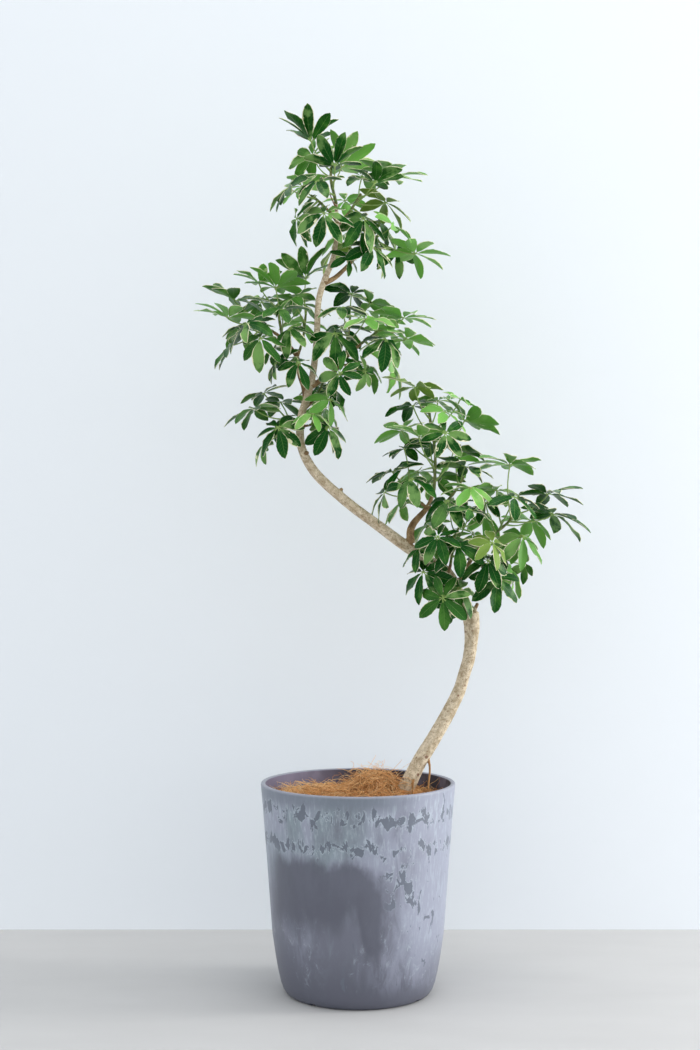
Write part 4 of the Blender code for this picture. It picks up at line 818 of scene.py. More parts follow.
def resin_finish():
    finish = Finish("marbled_resin", 0.5)
    point = finish.node("SeparateXYZ", {0: finish.place()})
    x, y, z = (point.outputs[index] for index in range(3))
    runs = finish.noise(finish.place((1.0, 1.0, 0.3)), 46.0, detail=6.0, roughness=0.66, distortion=0.6)
    clouds = finish.noise(finish.place((1.0, 1.0, 0.6)), 11.0, detail=4.0, distortion=0.5)
    fingers = finish.noise(finish.place((1.0, 1.0, 0.2)), 190.0, detail=5.0, roughness=0.65)
    # The wash is thick under the rim and thin low down. It is thick at the right too, partly real wash and partly
    # painted light where the window lights the pot's side
    high = finish.math("MULTIPLY", finish.step(z, 0.15, 0.27), 0.2)
    right = finish.math("MULTIPLY", finish.step(x, 0.035, 0.12), finish.math("MULTIPLY", finish.step(z, 0.0, 0.09), 0.29))
    amount = finish.math("ADD", finish.math("MULTIPLY", runs, 0.5), finish.math("MULTIPLY", clouds, 0.5))
    amount = finish.math("ADD", amount, finish.math("MAXIMUM", high, right))
    wash = finish.step(amount, 0.44, 0.76)
    cool = finish.math("MULTIPLY", finish.step(clouds, 0.62, 0.40), finish.step(x, 0.07, -0.02))
    base = finish.mix(wash, RESIN_BASE, finish.mix(cool, RESIN_WASH, RESIN_GREEN_WASH))
    # Pale fingers hang down from under the rim and along the right
    hung = finish.math("MAXIMUM", finish.step(z, 0.18, 0.33), finish.math("MULTIPLY", right, 2.0))
    pale = finish.math("MULTIPLY", finish.step(fingers, 0.48, 0.68), finish.math("MULTIPLY", hung, wash))
    base = finish.mix(finish.math("MULTIPLY", pale, 0.6), base, RESIN_PALE)
    # The foot is dark, with pale scuffs in its upper part
    foot = finish.step(z, 0.13, 0.03)
    base = finish.mix(finish.math("MULTIPLY", foot, 0.75), base, RESIN_DARK)
    scuffs = finish.noise(finish.place((1.0, 1.0, 0.55)), 75.0, detail=7.0, roughness=0.78, distortion=0.7)
    scuffs = finish.math("MULTIPLY", finish.step(scuffs, 0.53, 0.68), finish.step(clouds, 0.44, 0.56))
    low = window(finish, z, 0.025, 0.17, 0.03)
    base = finish.mix(finish.math("MULTIPLY", finish.math("MULTIPLY", scuffs, low), 0.5), base, RESIN_PALE)
    # A painted highlight: a pale sweep, mottled by the runs, crosses the lower right where the window's light falls
    painted_sweep_highlight = finish.math("MULTIPLY", window(finish, z, 0.035, 0.105, 0.02), window(finish, x, 0.03, 0.13, 0.025))
    painted_sweep_highlight = finish.math("MULTIPLY", painted_sweep_highlight, finish.step(runs, 0.35, 0.62))
    base = finish.mix(finish.math("MULTIPLY", painted_sweep_highlight, 0.5), base, RESIN_WASH)
    # The band right under the rim was never washed
    bare = finish.step(finish.math("ADD", z, finish.math("MULTIPLY", runs, 0.03)), 0.350, 0.374)
    bare = finish.math("MULTIPLY", bare, finish.step(x, 0.13, 0.02))
    base = finish.mix(finish.math("MULTIPLY", bare, 0.8), base, (120, 128, 140))
    patch = rubbed_patch(finish, x, y, z)
    base = finish.mix(finish.math("MULTIPLY", patch, 0.88), base, RESIN_DARK)
    flake, rim = torn_flakes(finish, x, y, z)
    clear = finish.math("SUBTRACT", 1.0, patch)
    base = finish.mix(finish.math("MULTIPLY", finish.math("MULTIPLY", rim, clear), 0.5), base, RESIN_PALE)
    base = finish.mix(finish.math("MULTIPLY", finish.math("MULTIPLY", flake, clear), 0.9), base, RESIN_FLAKE)
    # A fine grain, and a painted highlight: a pale band along the rim's edge, as if lit from above
    grain = finish.noise(finish.place(), 900.0, detail=2.0)
    base = finish.mix(finish.math("MULTIPLY", grain, 0.1), base, (50, 50, 58))
    base = finish.mix(finish.math("MULTIPLY", finish.step(z, 0.3655, 0.369), 0.7), base, (150, 151, 163))
    relief = finish.math("ADD", finish.math("MULTIPLY", runs, 0.3), finish.math("MULTIPLY", grain, 0.1))
    relief = finish.math("SUBTRACT", relief, finish.math("MULTIPLY", flake, 0.3))
    finish.bump(relief, 0.001, 0.3)
    rough = finish.math("MULTIPLY_ADD", runs, 0.12, 0.36)
    finish.plug(finish.math("SUBTRACT", rough, finish.math("MULTIPLY", patch, 0.05)),
                finish.shader.inputs["Roughness"])
    return finish.coat(base)


def inner_resin_finish():
    """The inside of the wall: purple grey clouds on resin, with painted shade that darkens its right side."""
    finish = Finish("inner_resin", 0.7)
    clouds = finish.noise(finish.place((1.0, 1.0, 0.5)), 22.0, detail=5.0, distortion=0.4)
    x = finish.node("SeparateXYZ", {0: finish.place()}).outputs[0]
    # Painted shade: the inside's right side, turned from the light, is nearly black, and its left side is lit
    left = finish.step(x, 0.03, -0.14)
    base = finish.mix(left, (50, 44, 50), (118, 112, 134))
    base = finish.mix(finish.math("MULTIPLY", finish.step(clouds, 0.45, 0.7), 0.45), base, (136, 130, 150))
    finish.bump(clouds, 0.0008, 0.3)
    return finish.coat(base)


pot = make_pot([resin_finish(), inner_resin_finish()])
print("pot:", count(pot), "triangles")

# %% [markdown]
# ## Potting soil
# Dark soil fills the pot under the fibre. The fibre hides nearly all of it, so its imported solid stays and
# only gets a crumbly finish: two sizes of noise for the crumbs, paler specks for perlite, and a strong bump.


# %% Soil finish
def soil_finish():
    finish = Finish("crumbly_soil", 0.95)
    crumbs = finish.noise(finish.place(), 210.0, detail=5.0, roughness=0.7)
    lumps = finish.noise(finish.place(), 45.0, detail=3.0)
    base = finish.mix(crumbs, (34, 25, 19), (78, 60, 46))
    base = finish.mix(finish.step(finish.noise(finish.place(), 330.0, detail=1.0), 0.74, 0.77), base, (205, 198, 184))
    finish.bump(finish.math("ADD", crumbs, lumps), 0.003, 0.8)
    return finish.coat(base)


soil = next(piece for piece in bpy.data.objects if piece.get("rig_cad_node") == "potting_soil")
soil.data.materials.clear()
soil.data.materials.append(soil_finish())
print("soil:", soil.name)

# %% [markdown]
# ## Fibre mat
# Loose palm fibre lies on the soil in a mound beside the trunk.
# Its body is a disc that is inset ring by ring and lifted to the mound's height, so it stays one closed
# lump. The strands themselves come next.

# %% Mat body
GAP = 0.3
SOIL_TOP = 290.0
MAT_BED = 341.0
# Swells of the mat: the middle's x and y, the rise and the reach
MAT_SWELLS = ((34.0, 12.0, 42.0, 47.0), (-32.0, 0.0, 9.0, 60.0))
MAT_LUMPS = (2.6, 1.7)
MAT_RINGS = 16
MAT_STEPS = 72


def inner_radius(height):
    """The pot's inner radius at this height, straight between the points of its outline."""
    line = (POT_RIM[-1],) + POT_INNER
    for (upper, top), (lower, bottom) in zip(line, line[1:]):
        if bottom <= height <= top:
            return lower + (upper - lower) * (height - bottom) / (top - bottom)
    return line[0][0]


def mat_height(x, y):
    """The top of the fibre mat: a bed with a mound beside the trunk and a low shoulder left of it."""
    height = MAT_BED
    for middle_x, middle_y, rise, reach in MAT_SWELLS:
        height += rise * math.exp(-((x - middle_x) ** 2 + (y - middle_y) ** 2) / reach ** 2)
    coarse, fine = MAT_LUMPS
    height += coarse * math.sin(x / 9.0 + 1.3) * math.cos(y / 11.0 - 0.4)
    return height + fine * math.sin((x + y) / 6.3)


def make_mat_body():
    """A disc inset into rings, lifted to the mound, and given its depth by one extrusion."""
    shape = bmesh.new()
    rim = inner_radius(340.0) - 2 * GAP
    bmesh.ops.create_circle(shape, cap_ends=True, segments=MAT_STEPS, radius=rim * MM)
    shape.faces.ensure_lookup_table()
    middle = [shape.faces[0]]
    for _ in range(MAT_RINGS - 1):
        bmesh.ops.inset_region(shape, faces=middle, thickness=rim / MAT_RINGS * MM,
                                use_even_offset=True, use_boundary=True)
    bmesh.ops.poke(shape, faces=middle)
    down = bmesh.ops.extrude_face_region(shape, geom=list(shape.faces))
    foot = [part for part in down["geom"] if isinstance(part, bmesh.types.BMVert)]
    for vert in shape.verts:
        x, y = vert.co.x / MM, vert.co.y / MM
        ripple = 2.2 * noise.noise(Vector((x, y, 0.0)) * 0.11) + 1.2 * noise.noise(Vector((x, y, 5.0)) * 0.35)
        height = mat_height(x, y) + ripple - 1.5
        reach = min(1.0, (inner_radius(height) - 2 * GAP) / rim)
        vert.co = Vector((x * reach, y * reach, height)) * MM
    for vert in foot:
        reach = (inner_radius(SOIL_TOP + GAP) - 2 * GAP) / (inner_radius(340.0) - 2 * GAP)
        x, y = vert.co.x, vert.co.y
        vert.co = Vector((x * reach, y * reach, (SOIL_TOP + GAP) * MM))
    bmesh.ops.recalc_face_normals(shape, faces=shape.faces)
    return shape


# %% [markdown]
# ## Palm fibre
# Palm fibre is a tangle of fine stiff hairs, so a bump alone looks like felt. Some thousand strands are laid
# over the mat's body, each a three-sided stick on its own curly line: it leaves the mound, turns a little at
# each station, and dips back. Most lie close and make the mat, in a first piece. Longer curls stand above
# them on the mound and a few wisps lean on the left wall, in a second piece, so that neither gets too big.
# Each strand carries a tone, so that one finish can vary their browns.

# %% Fibre strands
STRAND_RINGS = 9
CLOSE_STRANDS = 3500
CURLS = 2700
WISPS = 240
FIBRE_REACH = 151.0
HIGHEST = 368.5
LEAST_COVER = 0.3


def held_inside(point, margin=2.2):
    """The point, in millimetres, drawn back inside the pot's wall, and below the rim near it."""
    limit = inner_radius(min(point.z, HIGHEST)) - margin
    reach = math.hypot(point.x, point.y)
    if reach > limit:
        point.x *= limit / reach
        point.y *= limit / reach
    if reach > limit - 30.0:
        point.z = min(point.z, HIGHEST)
    return point


def strand_line(draw, start, heading, rise, step, curl, lie):
    """A curly line in metres: it turns by a random share at each station and keeps near the mat."""
    point = Vector(start)
    turn = heading
    climb = rise
    line = []
    for ring in range(STRAND_RINGS):
        line.append(held_inside(point.copy()) * MM)
        turn += draw.uniform(-curl, curl)
        climb += draw.uniform(-0.5, 0.5) * curl - lie
        point += Vector((math.cos(turn), math.sin(turn), math.sin(climb))) * step
        floor = mat_height(point.x, point.y) + LEAST_COVER
        if point.z < floor:
            point.z = floor
            climb = abs(climb) * 0.4
    return line


def anywhere(draw, reach):
    """A point of the mat's top within this reach of its middle."""
    far = reach * math.sqrt(draw.random())
    turn = draw.uniform(0, 2 * math.pi)
    x, y = far * math.cos(turn), far * math.sin(turn)
    return Vector((x, y, mat_height(x, y)))


def add_strand(shape, stick, draw, line, thick, tone):
    """One strand, thinner at its ends."""
    shares = [0.6] + [1.0] * (STRAND_RINGS - 2) + [0.5]
    bend(shape, stick, line, [thick * share * MM for share in shares], (tone, 1.0, draw.random(), 1.0))


def fibre_piece(name, shape, finishes):
    piece = finished(name, shape, finishes)
    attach(piece, "root")
    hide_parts("fibre_mat")
    return piece


def make_close_fibre(finishes):
    """The mat's body under strands that lie close to it."""
    draw = random.Random(11)
    shape = make_mat_body()
    mark = shape.verts.layers.float_color.new("tone")
    for vert in shape.verts:
        vert[mark] = (0.15, 0.0, 0.0, 1.0)
    stick = straight_stick(3, STRAND_RINGS)
    for _ in range(CLOSE_STRANDS):
        start = anywhere(draw, FIBRE_REACH) + Vector((0, 0, draw.uniform(0.0, 2.2)))
        line = strand_line(draw, start, draw.uniform(0, 2 * math.pi), draw.uniform(-0.1, 0.5),
                           draw.uniform(3.4, 6.5), draw.uniform(0.25, 0.8), draw.uniform(0.05, 0.25))
        # Painted shade: the close strands get darker tones than the curls above them
        add_strand(shape, stick, draw, line, draw.uniform(0.26, 0.46), draw.random() * 0.8)
    return fibre_piece("palm_fibre", shape, finishes)


def make_loose_fibre(finishes):
    """Curls that stand on the mound, and wisps on the left wall."""
    draw = random.Random(12)
    shape = bmesh.new()
    shape.verts.layers.float_color.new("tone")
    stick = straight_stick(3, STRAND_RINGS)
    for _ in range(CURLS):
        start = anywhere(draw, FIBRE_REACH)
        mound = min(1.0, max(0.25, (start.z - MAT_BED) / 30.0))
        start.z += draw.uniform(0.0, 5.0) * mound
        line = strand_line(draw, start, draw.uniform(0, 2 * math.pi), draw.uniform(0.2, 1.3) * mound,
                           draw.uniform(2.0, 5.0), draw.uniform(0.35, 0.95), draw.uniform(0.12, 0.35))
        add_strand(shape, stick, draw, line, draw.uniform(0.2, 0.36), 0.3 + 0.7 * draw.random())
    for _ in range(WISPS):
        turn = math.radians(draw.uniform(120, 235))
        reach = draw.uniform(96.0, 140.0)
        x, y = reach * math.cos(turn), reach * math.sin(turn)
        start = (x, y, mat_height(x, y))
        line = strand_line(draw, start, turn + draw.uniform(-1.4, 1.4), draw.uniform(0.5, 1.4),
                           draw.uniform(2.6, 5.4), draw.uniform(0.25, 0.75), 0.2)
        add_strand(shape, stick, draw, line, draw.uniform(0.2, 0.34), draw.uniform(0.4, 1.0))
    return fibre_piece("loose_fibre", shape, finishes)

# %% [markdown]
# ## Fibre finish
# Dry palm fibre goes from dark brown to orange and straw. The strands that lie close are given darker tones
# than the curls on top, which is painted shade of the mat's depth. The tone of a strand picks a brown out of a
# colour ramp, and fine noise dulls it in places. The body under the strands is nearly black brown, painted
# shade so that the gaps read as depth.


# %% Fibre finish
def tone_of(finish, name="tone"):
    return finish.node("SeparateXYZ", {0: finish.node("Attribute", attribute_name=name).outputs["Vector"]}).outputs


def fibre_finish():
    finish = Finish("curly_palm_fibre", 0.75)
    tone, strand, _ = tone_of(finish)
    base = finish.mix(finish.step(tone, 0.0, 0.5), (168, 106, 52), (244, 184, 116))
    base = finish.mix(finish.step(tone, 0.5, 1.0), base, (255, 226, 172))
    dull = finish.noise(finish.place(), 60.0, detail=3.0)
    base = finish.mix(finish.math("MULTIPLY", finish.step(dull, 0.5, 0.75), 0.35), base, (190, 130, 76))
    felt = finish.noise(finish.place(), 520.0, detail=5.0, roughness=0.7, distortion=2.5)
    # Painted shade: the body under the strands is dark brown, so that the gaps read as depth
    ground = finish.mix(finish.step(felt, 0.35, 0.7), (84, 48, 22), (206, 140, 80))
    finish.bump(felt, 0.002, 0.8)
    return finish.coat(finish.mix(strand, ground, base))


fibre_look = fibre_finish()
print("fibre:", count(make_close_fibre([fibre_look])), "and", count(make_loose_fibre([fibre_look])), "triangles")

# %% [markdown]
# ## Wood
# Trunk, branches, spurs and roots are one growing body, so their joints must flow. Each limb is a smooth
# tapering rod of its route. All rods together are remeshed with small voxels, which melts them into one
# skin, and a light smoothing rounds the crotches. Where the surface lies along the nearest limb is kept as
# an attribute named grain, so that the bark can run with each limb.

# %% Wood shape
BARK_VOXEL = 0.0014
LIMB_STEPS = 4


def limb_kind(limb):
    """0 for the trunks, 0.5 for branches and spurs, 1 for roots."""
    return 0.0 if "trunk" in limb.name else 1.0 if "root" in limb.name else 0.5


def limb_sticks():
    """All limbs as smooth rods in one shape, and the stations, radii and kinds of their routes."""
    shape = bmesh.new()
    path = []
    length = 0.0
    for limb in WOOD:
        line, radii = smooth_line(route(limb.points), [radius * MM for radius in limb.radii], LIMB_STEPS)
        bend(shape, straight_stick(16, len(line)), line, radii)
        for place, (point, ahead, side) in enumerate(stations(line)):
            length += (point - line[place - 1]).length if place else 0.0
            path.append((*point, *ahead, *side, length, radii[place], limb_kind(limb)))
    return shape, np.array(path)


def grain_of(corners, path):
    """For each corner: where it lies round and along its limb, as a point that noise can be read at."""
    found = np.empty((len(corners), 4))
    for start in range(0, len(corners), 4000):
        part = corners[start:start + 4000]
        away = np.linalg.norm(part[:, None, :] - path[None, :, :3], axis=2) - path[None, :, 10]
        near = path[np.argmin(away, axis=1)]
        offset = part - near[:, :3]
        other = np.cross(near[:, 3:6], near[:, 6:9])
        found[start:start + 4000, 0] = np.einsum("ij,ij->i", offset, near[:, 6:9])
        found[start:start + 4000, 1] = np.einsum("ij,ij->i", offset, other)
        found[start:start + 4000, 2] = near[:, 9] + np.einsum("ij,ij->i", offset, near[:, 3:6])
        found[start:start + 4000, 3] = near[:, 11]
    return found


def make_trunk(finish):
    shape, path = limb_sticks()
    trunk = finished("bark_trunk", shape, [])
    melt = trunk.modifiers.new("melt", "REMESH")
    melt.mode = "VOXEL"
    melt.voxel_size = BARK_VOXEL
    relax = trunk.modifiers.new("relax", "SMOOTH")
    relax.factor = 0.5
    relax.iterations = 4
    skin = evaluated_mesh(trunk)
    trunk.modifiers.clear()
    trunk.data = skin
    corners = np.empty(len(skin.vertices) * 3, np.float32)
    skin.vertices.foreach_get("co", corners)
    corners = corners.reshape(-1, 3).astype(float)
    grain = grain_of(corners, path)
    normals = np.empty(len(skin.vertices) * 3, np.float32)
    skin.vertices.foreach_get("normal", normals)
    normals = normals.reshape(-1, 3)
    relief = np.array([
        0.35 * noise.noise((x * 160, y * 160, z * 22)) + 0.25 * noise.noise((x * 420, y * 420, z * 130))
        for x, y, z in grain[:, :3]])
    girth = np.hypot(grain[:, 0], grain[:, 1])
    corners += normals * (relief * np.clip(girth / 0.012, 0.25, 1.0) * 1.3 * MM)[:, None]
    skin.vertices.foreach_set("co", corners.astype(np.float32).ravel())
    mark = skin.attributes.new("grain", "FLOAT_VECTOR", "POINT")
    mark.data.foreach_set("vector", grain[:, :3].astype(np.float32).ravel())
    kinds = skin.attributes.new("kind", "FLOAT", "POINT")
    kinds.data.foreach_set("value", grain[:, 3].astype(np.float32))
    skin.materials.clear()
    skin.materials.append(finish)
    skin.shade_smooth()
    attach(trunk, "root")
    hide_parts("trunk")
    return trunk

# %% [markdown]
# ## Bark finish
# The trunk's bark is cream, with fine fibres along it, small corky dots and faint green brown stains. The
# side branches are browner and the roots browner still. Noise read at the grain attribute with its length
# pressed together makes the fibres run along each limb, and cells make the dots. The kind attribute tells
# trunk, branches and roots apart.


# %% Bark finish
# Dark knots on the trunk: x, z and radius in metres
KNOTS = ((0.191, 0.636, 0.0022), (0.184, 0.593, 0.0016), (0.190, 0.541, 0.002), (0.178, 0.523, 0.0022),
         (0.121, 0.415, 0.0035), (0.106, 0.384, 0.003), (0.080, 0.376, 0.0025))


def bark_finish():
    finish = Finish("dotted_bark", 0.8)
    grain = finish.node("Attribute", attribute_name="grain").outputs["Vector"]
    kind = finish.node("Attribute", attribute_name="kind").outputs["Fac"]
    along_it = finish.node("Mapping", {"Vector": grain, "Scale": (1.0, 1.0, 0.12)}).outputs[0]
    short = finish.node("Mapping", {"Vector": grain, "Scale": (1.0, 1.0, 0.5)}).outputs[0]
    ridges = finish.noise(along_it, 320.0, detail=6.0, roughness=0.65)
    blots = finish.noise(grain, 85.0, detail=7.0, roughness=0.75, distortion=0.5)
    stains = finish.noise(short, 26.0, detail=5.0, roughness=0.65)
    trunk_tone = finish.mix(finish.step(blots, 0.38, 0.62), (176, 158, 128), (230, 215, 188))
    branch_tone = finish.mix(finish.step(blots, 0.35, 0.65), (104, 78, 48), (172, 142, 100))
    root_tone = finish.mix(finish.step(ridges, 0.35, 0.65), (128, 88, 46), (190, 142, 88))
    base = finish.mix(finish.step(kind, 0.15, 0.35), trunk_tone, branch_tone)
    base = finish.mix(finish.step(kind, 0.6, 0.8), base, root_tone)
    base = finish.mix(finish.math("MULTIPLY", finish.step(ridges, 0.56, 0.36), 0.25), base, (156, 130, 96))
    base = finish.mix(finish.math("MULTIPLY", finish.step(stains, 0.54, 0.70), 0.35), base, (150, 130, 92))
    # Small corky dots, some of them dark
    cells = finish.node("TexVoronoi", {"Vector": short, "Scale": 190.0})
    spot = finish.step(cells.outputs["Distance"], 0.2, 0.12)
    chance = finish.node("SeparateXYZ", {0: cells.outputs["Color"]}).outputs[0]
    dots = finish.math("MULTIPLY", spot, finish.step(chance, 0.45, 0.6))
    base = finish.mix(finish.math("MULTIPLY", dots, 0.65), base, (104, 74, 44))
    specks = finish.noise(grain, 480.0, detail=2.0, roughness=0.5)
    base = finish.mix(finish.math("MULTIPLY", finish.step(specks, 0.60, 0.66), 0.7), base, (128, 92, 58))
    # The knots that can be told apart on the trunk's front
    for knot_x, knot_z, reach in KNOTS:
        away = finish.node("VectorMath", {0: finish.place((1.0, 0.0, 1.0)), 1: (knot_x, 0.0, knot_z)}, operation="DISTANCE")
        knot = finish.step(finish.math("MULTIPLY_ADD", stains, 0.003, away.outputs["Value"]), reach + 0.002, reach)
        base = finish.mix(finish.math("MULTIPLY", knot, 0.8), base, (112, 66, 36))
    relief = finish.math("ADD", finish.math("MULTIPLY", ridges, 0.7), finish.math("MULTIPLY", blots, 0.5))
    finish.bump(finish.math("ADD", relief, finish.math("MULTIPLY", dots, 0.4)), 0.0014, 0.5)
    return finish.coat(base)


trunk = make_trunk(bark_finish())
print("trunk:", count(trunk), "triangles")

# %% [markdown]
# ## Where the leaves stand
# Every shoot has its leaves in the order of their roots along the stem. The solids were made by trying a
# leaf at its hub and then a little beside it, until it was clear of all others. The same draws are made here,
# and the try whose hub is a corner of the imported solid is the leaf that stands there.

# %% Leaf plans
GAP_TO_WOOD = 0.3
STEM_LEAD = 2.5
HUB_CROWN = 0.9
STEM_SPAN = (0.12, 0.96)
FEWEST_LEAFLETS = 6
MORE_LEAFLETS_FROM = (57, 66)
LEAN_UPRIGHT = 0.85
BLADE_ROLL = (17.0, 5.0)
TRIES = 60
SPIN_STEP = 0.4
TURN_TO_STALK = 0.7
FLATTEN = 0.6
LIFT_TRIAL = 12.0
PUSH = (4.0, 30.0)
SWAY = (0.1, 0.6)
SMALLER_FROM = 30
SMALLER_BY = 0.86
SEED = 7


def along(points, share):
    """The point this share of the way along a route, and the direction there."""
    lengths = [(b - a).length for a, b in zip(points, points[1:])]
    left = share * sum(lengths)
    for index, length in enumerate(lengths):
        if left <= length or index == len(lengths) - 1:
            ahead = (points[index + 1] - points[index]).normalized()
            return points[index] + ahead * left, ahead
        left -= length


def stem_line(shoot):
    """A stem's route: it starts a gap off the flat end of the wood that carries it and square to that end."""
    points = route(shoot.points)
    carrier = next(limb for limb in WOOD if limb.points[-1] == shoot.points[0])
    end, before = (Vector(point) * MM for point in (carrier.points[-1], carrier.points[-2]))
    ahead = (end - before).normalized()
    return [end + ahead * GAP_TO_WOOD * MM, end + ahead * STEM_LEAD * MM] + points[1:]


def ordered(shoot):
    """The leaves of a shoot in the order of their roots, the lowest along the stem first."""
    stem = route(shoot.points)
    ahead = (stem[-1] - stem[0]).normalized()
    return sorted(shoot.leaves, key=lambda leaf: (Vector(leaf.hub) * MM - stem[0]).dot(ahead))


def leaf_plan(shoot, number, leaf, attempt):
    """One leaf as it would stand at this attempt: the first as asked for, the later ones moved a little."""
    seed = SEED * 100003 + SHOOTS.index(shoot) * 1009 + number * 101
    draw = random.Random(seed * 131 + attempt)
    share = (number + 0.7) / len(shoot.leaves)
    first, last = STEM_SPAN
    root, ahead = along(stem_line(shoot), first + (last - first) * share)
    hub = Vector(leaf.hub) * MM
    ease = attempt / TRIES
    if attempt:
        push = Vector((draw.uniform(-1, 1), draw.uniform(-1, 1), draw.uniform(-1, 1)))
        hub = hub + push * (PUSH[0] + (PUSH[1] - PUSH[0]) * ease) * MM
    outward = hub - root
    outward = (outward - ahead * outward.dot(ahead)).normalized()
    normal = Vector((leaf.lean[0], leaf.lean[1], LEAN_UPRIGHT))
    normal += Vector((draw.uniform(-1, 1), draw.uniform(-1, 1), 0)) * (SWAY[0] + (SWAY[1] - SWAY[0]) * ease)
    normal = normal.normalized().lerp((hub - root).normalized(), TURN_TO_STALK * ease)
    return {
        "seed": seed,
        "shoot": shoot.name,
        "root": root,
        "hub": hub,
        "outward": outward,
        "normal": normal.normalized(),
        "spin": random.Random(seed).uniform(0, 6.28) + attempt * SPIN_STEP,
        "lift": leaf.lift * (1 - FLATTEN * ease) + (draw.uniform(-1, 1) * LIFT_TRIAL if attempt else 0),
        "roll": BLADE_ROLL[0] if number % 2 else -BLADE_ROLL[0],
        "size": leaf.size * MM * (1.0 if attempt < SMALLER_FROM else SMALLER_BY),
        "count": FEWEST_LEAFLETS + sum(leaf.size >= size for size in MORE_LEAFLETS_FROM),
    }


def standing_leaves():
    """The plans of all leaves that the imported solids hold."""
    plans = []
    for shoot in SHOOTS:
        solid = frame["nodes"]["shoot_" + shoot.name].data
        corners = KDTree(len(solid.vertices))
        for vert in solid.vertices:
            corners.insert(vert.co, vert.index)
        corners.balance()
        for number, leaf in enumerate(ordered(shoot)):
            tries = (leaf_plan(shoot, number, leaf, attempt) for attempt in range(TRIES))
            plans += [plan for plan in tries
                      if corners.find(plan["hub"] + plan["normal"] * HUB_CROWN * MM)[2] < 0.02 * MM][:1]
    return plans


leaf_plans = standing_leaves()
print("leaves that stand:", len(leaf_plans))

# %% [markdown]
# ## Leaflets
# A leaf of this plant is a hand of six to eight leaflets. Each leaflet is a blade that narrows to a short pale
# stalk at the hub, folds a little along its midrib, arches towards its tip and waves at its edge. One small
# grid is the template for them all. Its rows are carried to their places along the arch, and a Solidify
# then gives all the blades of a shoot their thickness at once, with a second finish for the undersides.

# %% Leaflet shape
BLADE_THICKNESS = 0.7
BLADE_ROWS = ((0.0, 0.05), (0.10, 0.07), (0.20, 0.42), (0.38, 0.82), (0.58, 1.0), (0.77, 0.88), (0.92, 0.52),
              (1.0, 0.06))
BLADE_FOLD = math.radians(14)
HALF_WIDTH = 0.205
WIDEST = 0.6
ARCH = (0.16, 0.38)
BACK_SHORTER = 0.2
KEEP_INSIDE = 0.985
LENGTH_SPREAD = (0.94, 1.05)
WIDTH_SPREAD = (0.9, 1.04)
OVERLAP = 1.12
TURN_SPREAD = 0.1
LIFT_SPREAD = 7.0
LIFT_EVERY_OTHER = 5.0


def leaf_frame(normal, outward):
    first = outward - normal * outward.dot(normal)
    if first.length < 1e-4:
        first = across(normal)
    first.normalize()
    return first, normal.cross(first)


def leaflets_of(plan):
    """The directions and sizes of each leaflet of a leaf."""
    draw = random.Random(plan["seed"])
    first, second = leaf_frame(plan["normal"], plan["outward"])
    found = []
    for number in range(plan["count"]):
        turn = plan["spin"] + 2 * math.pi * (number + draw.uniform(-1, 1) * TURN_SPREAD) / plan["count"]
        front = 0.5 + 0.5 * math.cos(turn)
        length = plan["size"] * (1 - BACK_SHORTER * (1 - front)) * draw.uniform(*LENGTH_SPREAD) * KEEP_INSIDE
        lift = plan["lift"] + draw.uniform(-1, 1) * LIFT_SPREAD + LIFT_EVERY_OTHER * (number % 2)
        lift = math.radians(lift)
        arch = draw.uniform(*ARCH)
        roll = math.radians(plan["roll"] + draw.uniform(-1, 1) * BLADE_ROLL[1])
        out = math.cos(turn) * first + math.sin(turn) * second
        side = math.cos(turn) * second - math.sin(turn) * first
        ahead = math.cos(lift) * out + math.sin(lift) * plan["normal"]
        over = math.cos(lift) * plan["normal"] - math.sin(lift) * out
        room = WIDEST * length * math.cos(lift) * math.tan(math.pi / plan["count"])
        found.append({
            "ahead": ahead,
            "over": over,
            "level": math.cos(roll) * side + math.sin(roll) * over,
            "crown": math.cos(roll) * over - math.sin(roll) * side,
            "length": length,
            "width": min(HALF_WIDTH * length, OVERLAP * room) * draw.uniform(*WIDTH_SPREAD),
            "arch": arch,
        })
    return found


def blade_template():
    """A flat grid, four cells across and one row of cells between each two rows of the blade."""
    shape = bmesh.new()
    bmesh.ops.create_grid(shape, x_segments=4, y_segments=len(BLADE_ROWS) - 1, size=1.0)
    blade = bpy.data.meshes.new("blade")
    shape.to_mesh(blade)
    shape.free()
    return blade


def add_leaflet(shape, template, plan, leaflet, tone, draw):
    """One blade, its grid carried along the leaflet's arch."""
    start = len(shape.verts)
    shape.from_mesh(template)
    shape.verts.ensure_lookup_table()
    place = shape.verts.layers.float_vector["blade"]
    mark = shape.verts.layers.float_color["tone"]
    last = len(BLADE_ROWS) - 1
    wave, beat, sway = draw.uniform(0.0, 0.055), draw.uniform(0, 6.28), draw.uniform(-0.05, 0.05)
    for vert in shape.verts[start:]:
        u = vert.co.x
        t, wide = BLADE_ROWS[round((vert.co.y + 1) / 2 * last)]
        width = leaflet["width"] * wide
        raised = abs(u) * width * math.sin(BLADE_FOLD)
        ripple = u * u * leaflet["length"] * wave * wide * math.sin(9.0 * t + beat + (1.6 if u > 0 else 0.0))
        centre = plan["hub"] + leaflet["ahead"] * leaflet["length"] * t
        centre -= leaflet["over"] * leaflet["arch"] * leaflet["length"] * t * t
        centre += leaflet["level"] * leaflet["length"] * sway * math.sin(math.pi * t)
        vert.co = centre - leaflet["level"] * u * width * math.cos(BLADE_FOLD)
        vert.co += leaflet["crown"] * (raised + ripple)
        vert[place] = (u, t, tone[0])
        vert[mark] = tone


# The side that the daylight comes from, and how far a leaf faces it, in shade and in full light
DAYLIGHT = Vector((0.45, 0.2, 0.87)).normalized()
SHADE_FROM = 0.35
LIGHT_FROM = 0.92


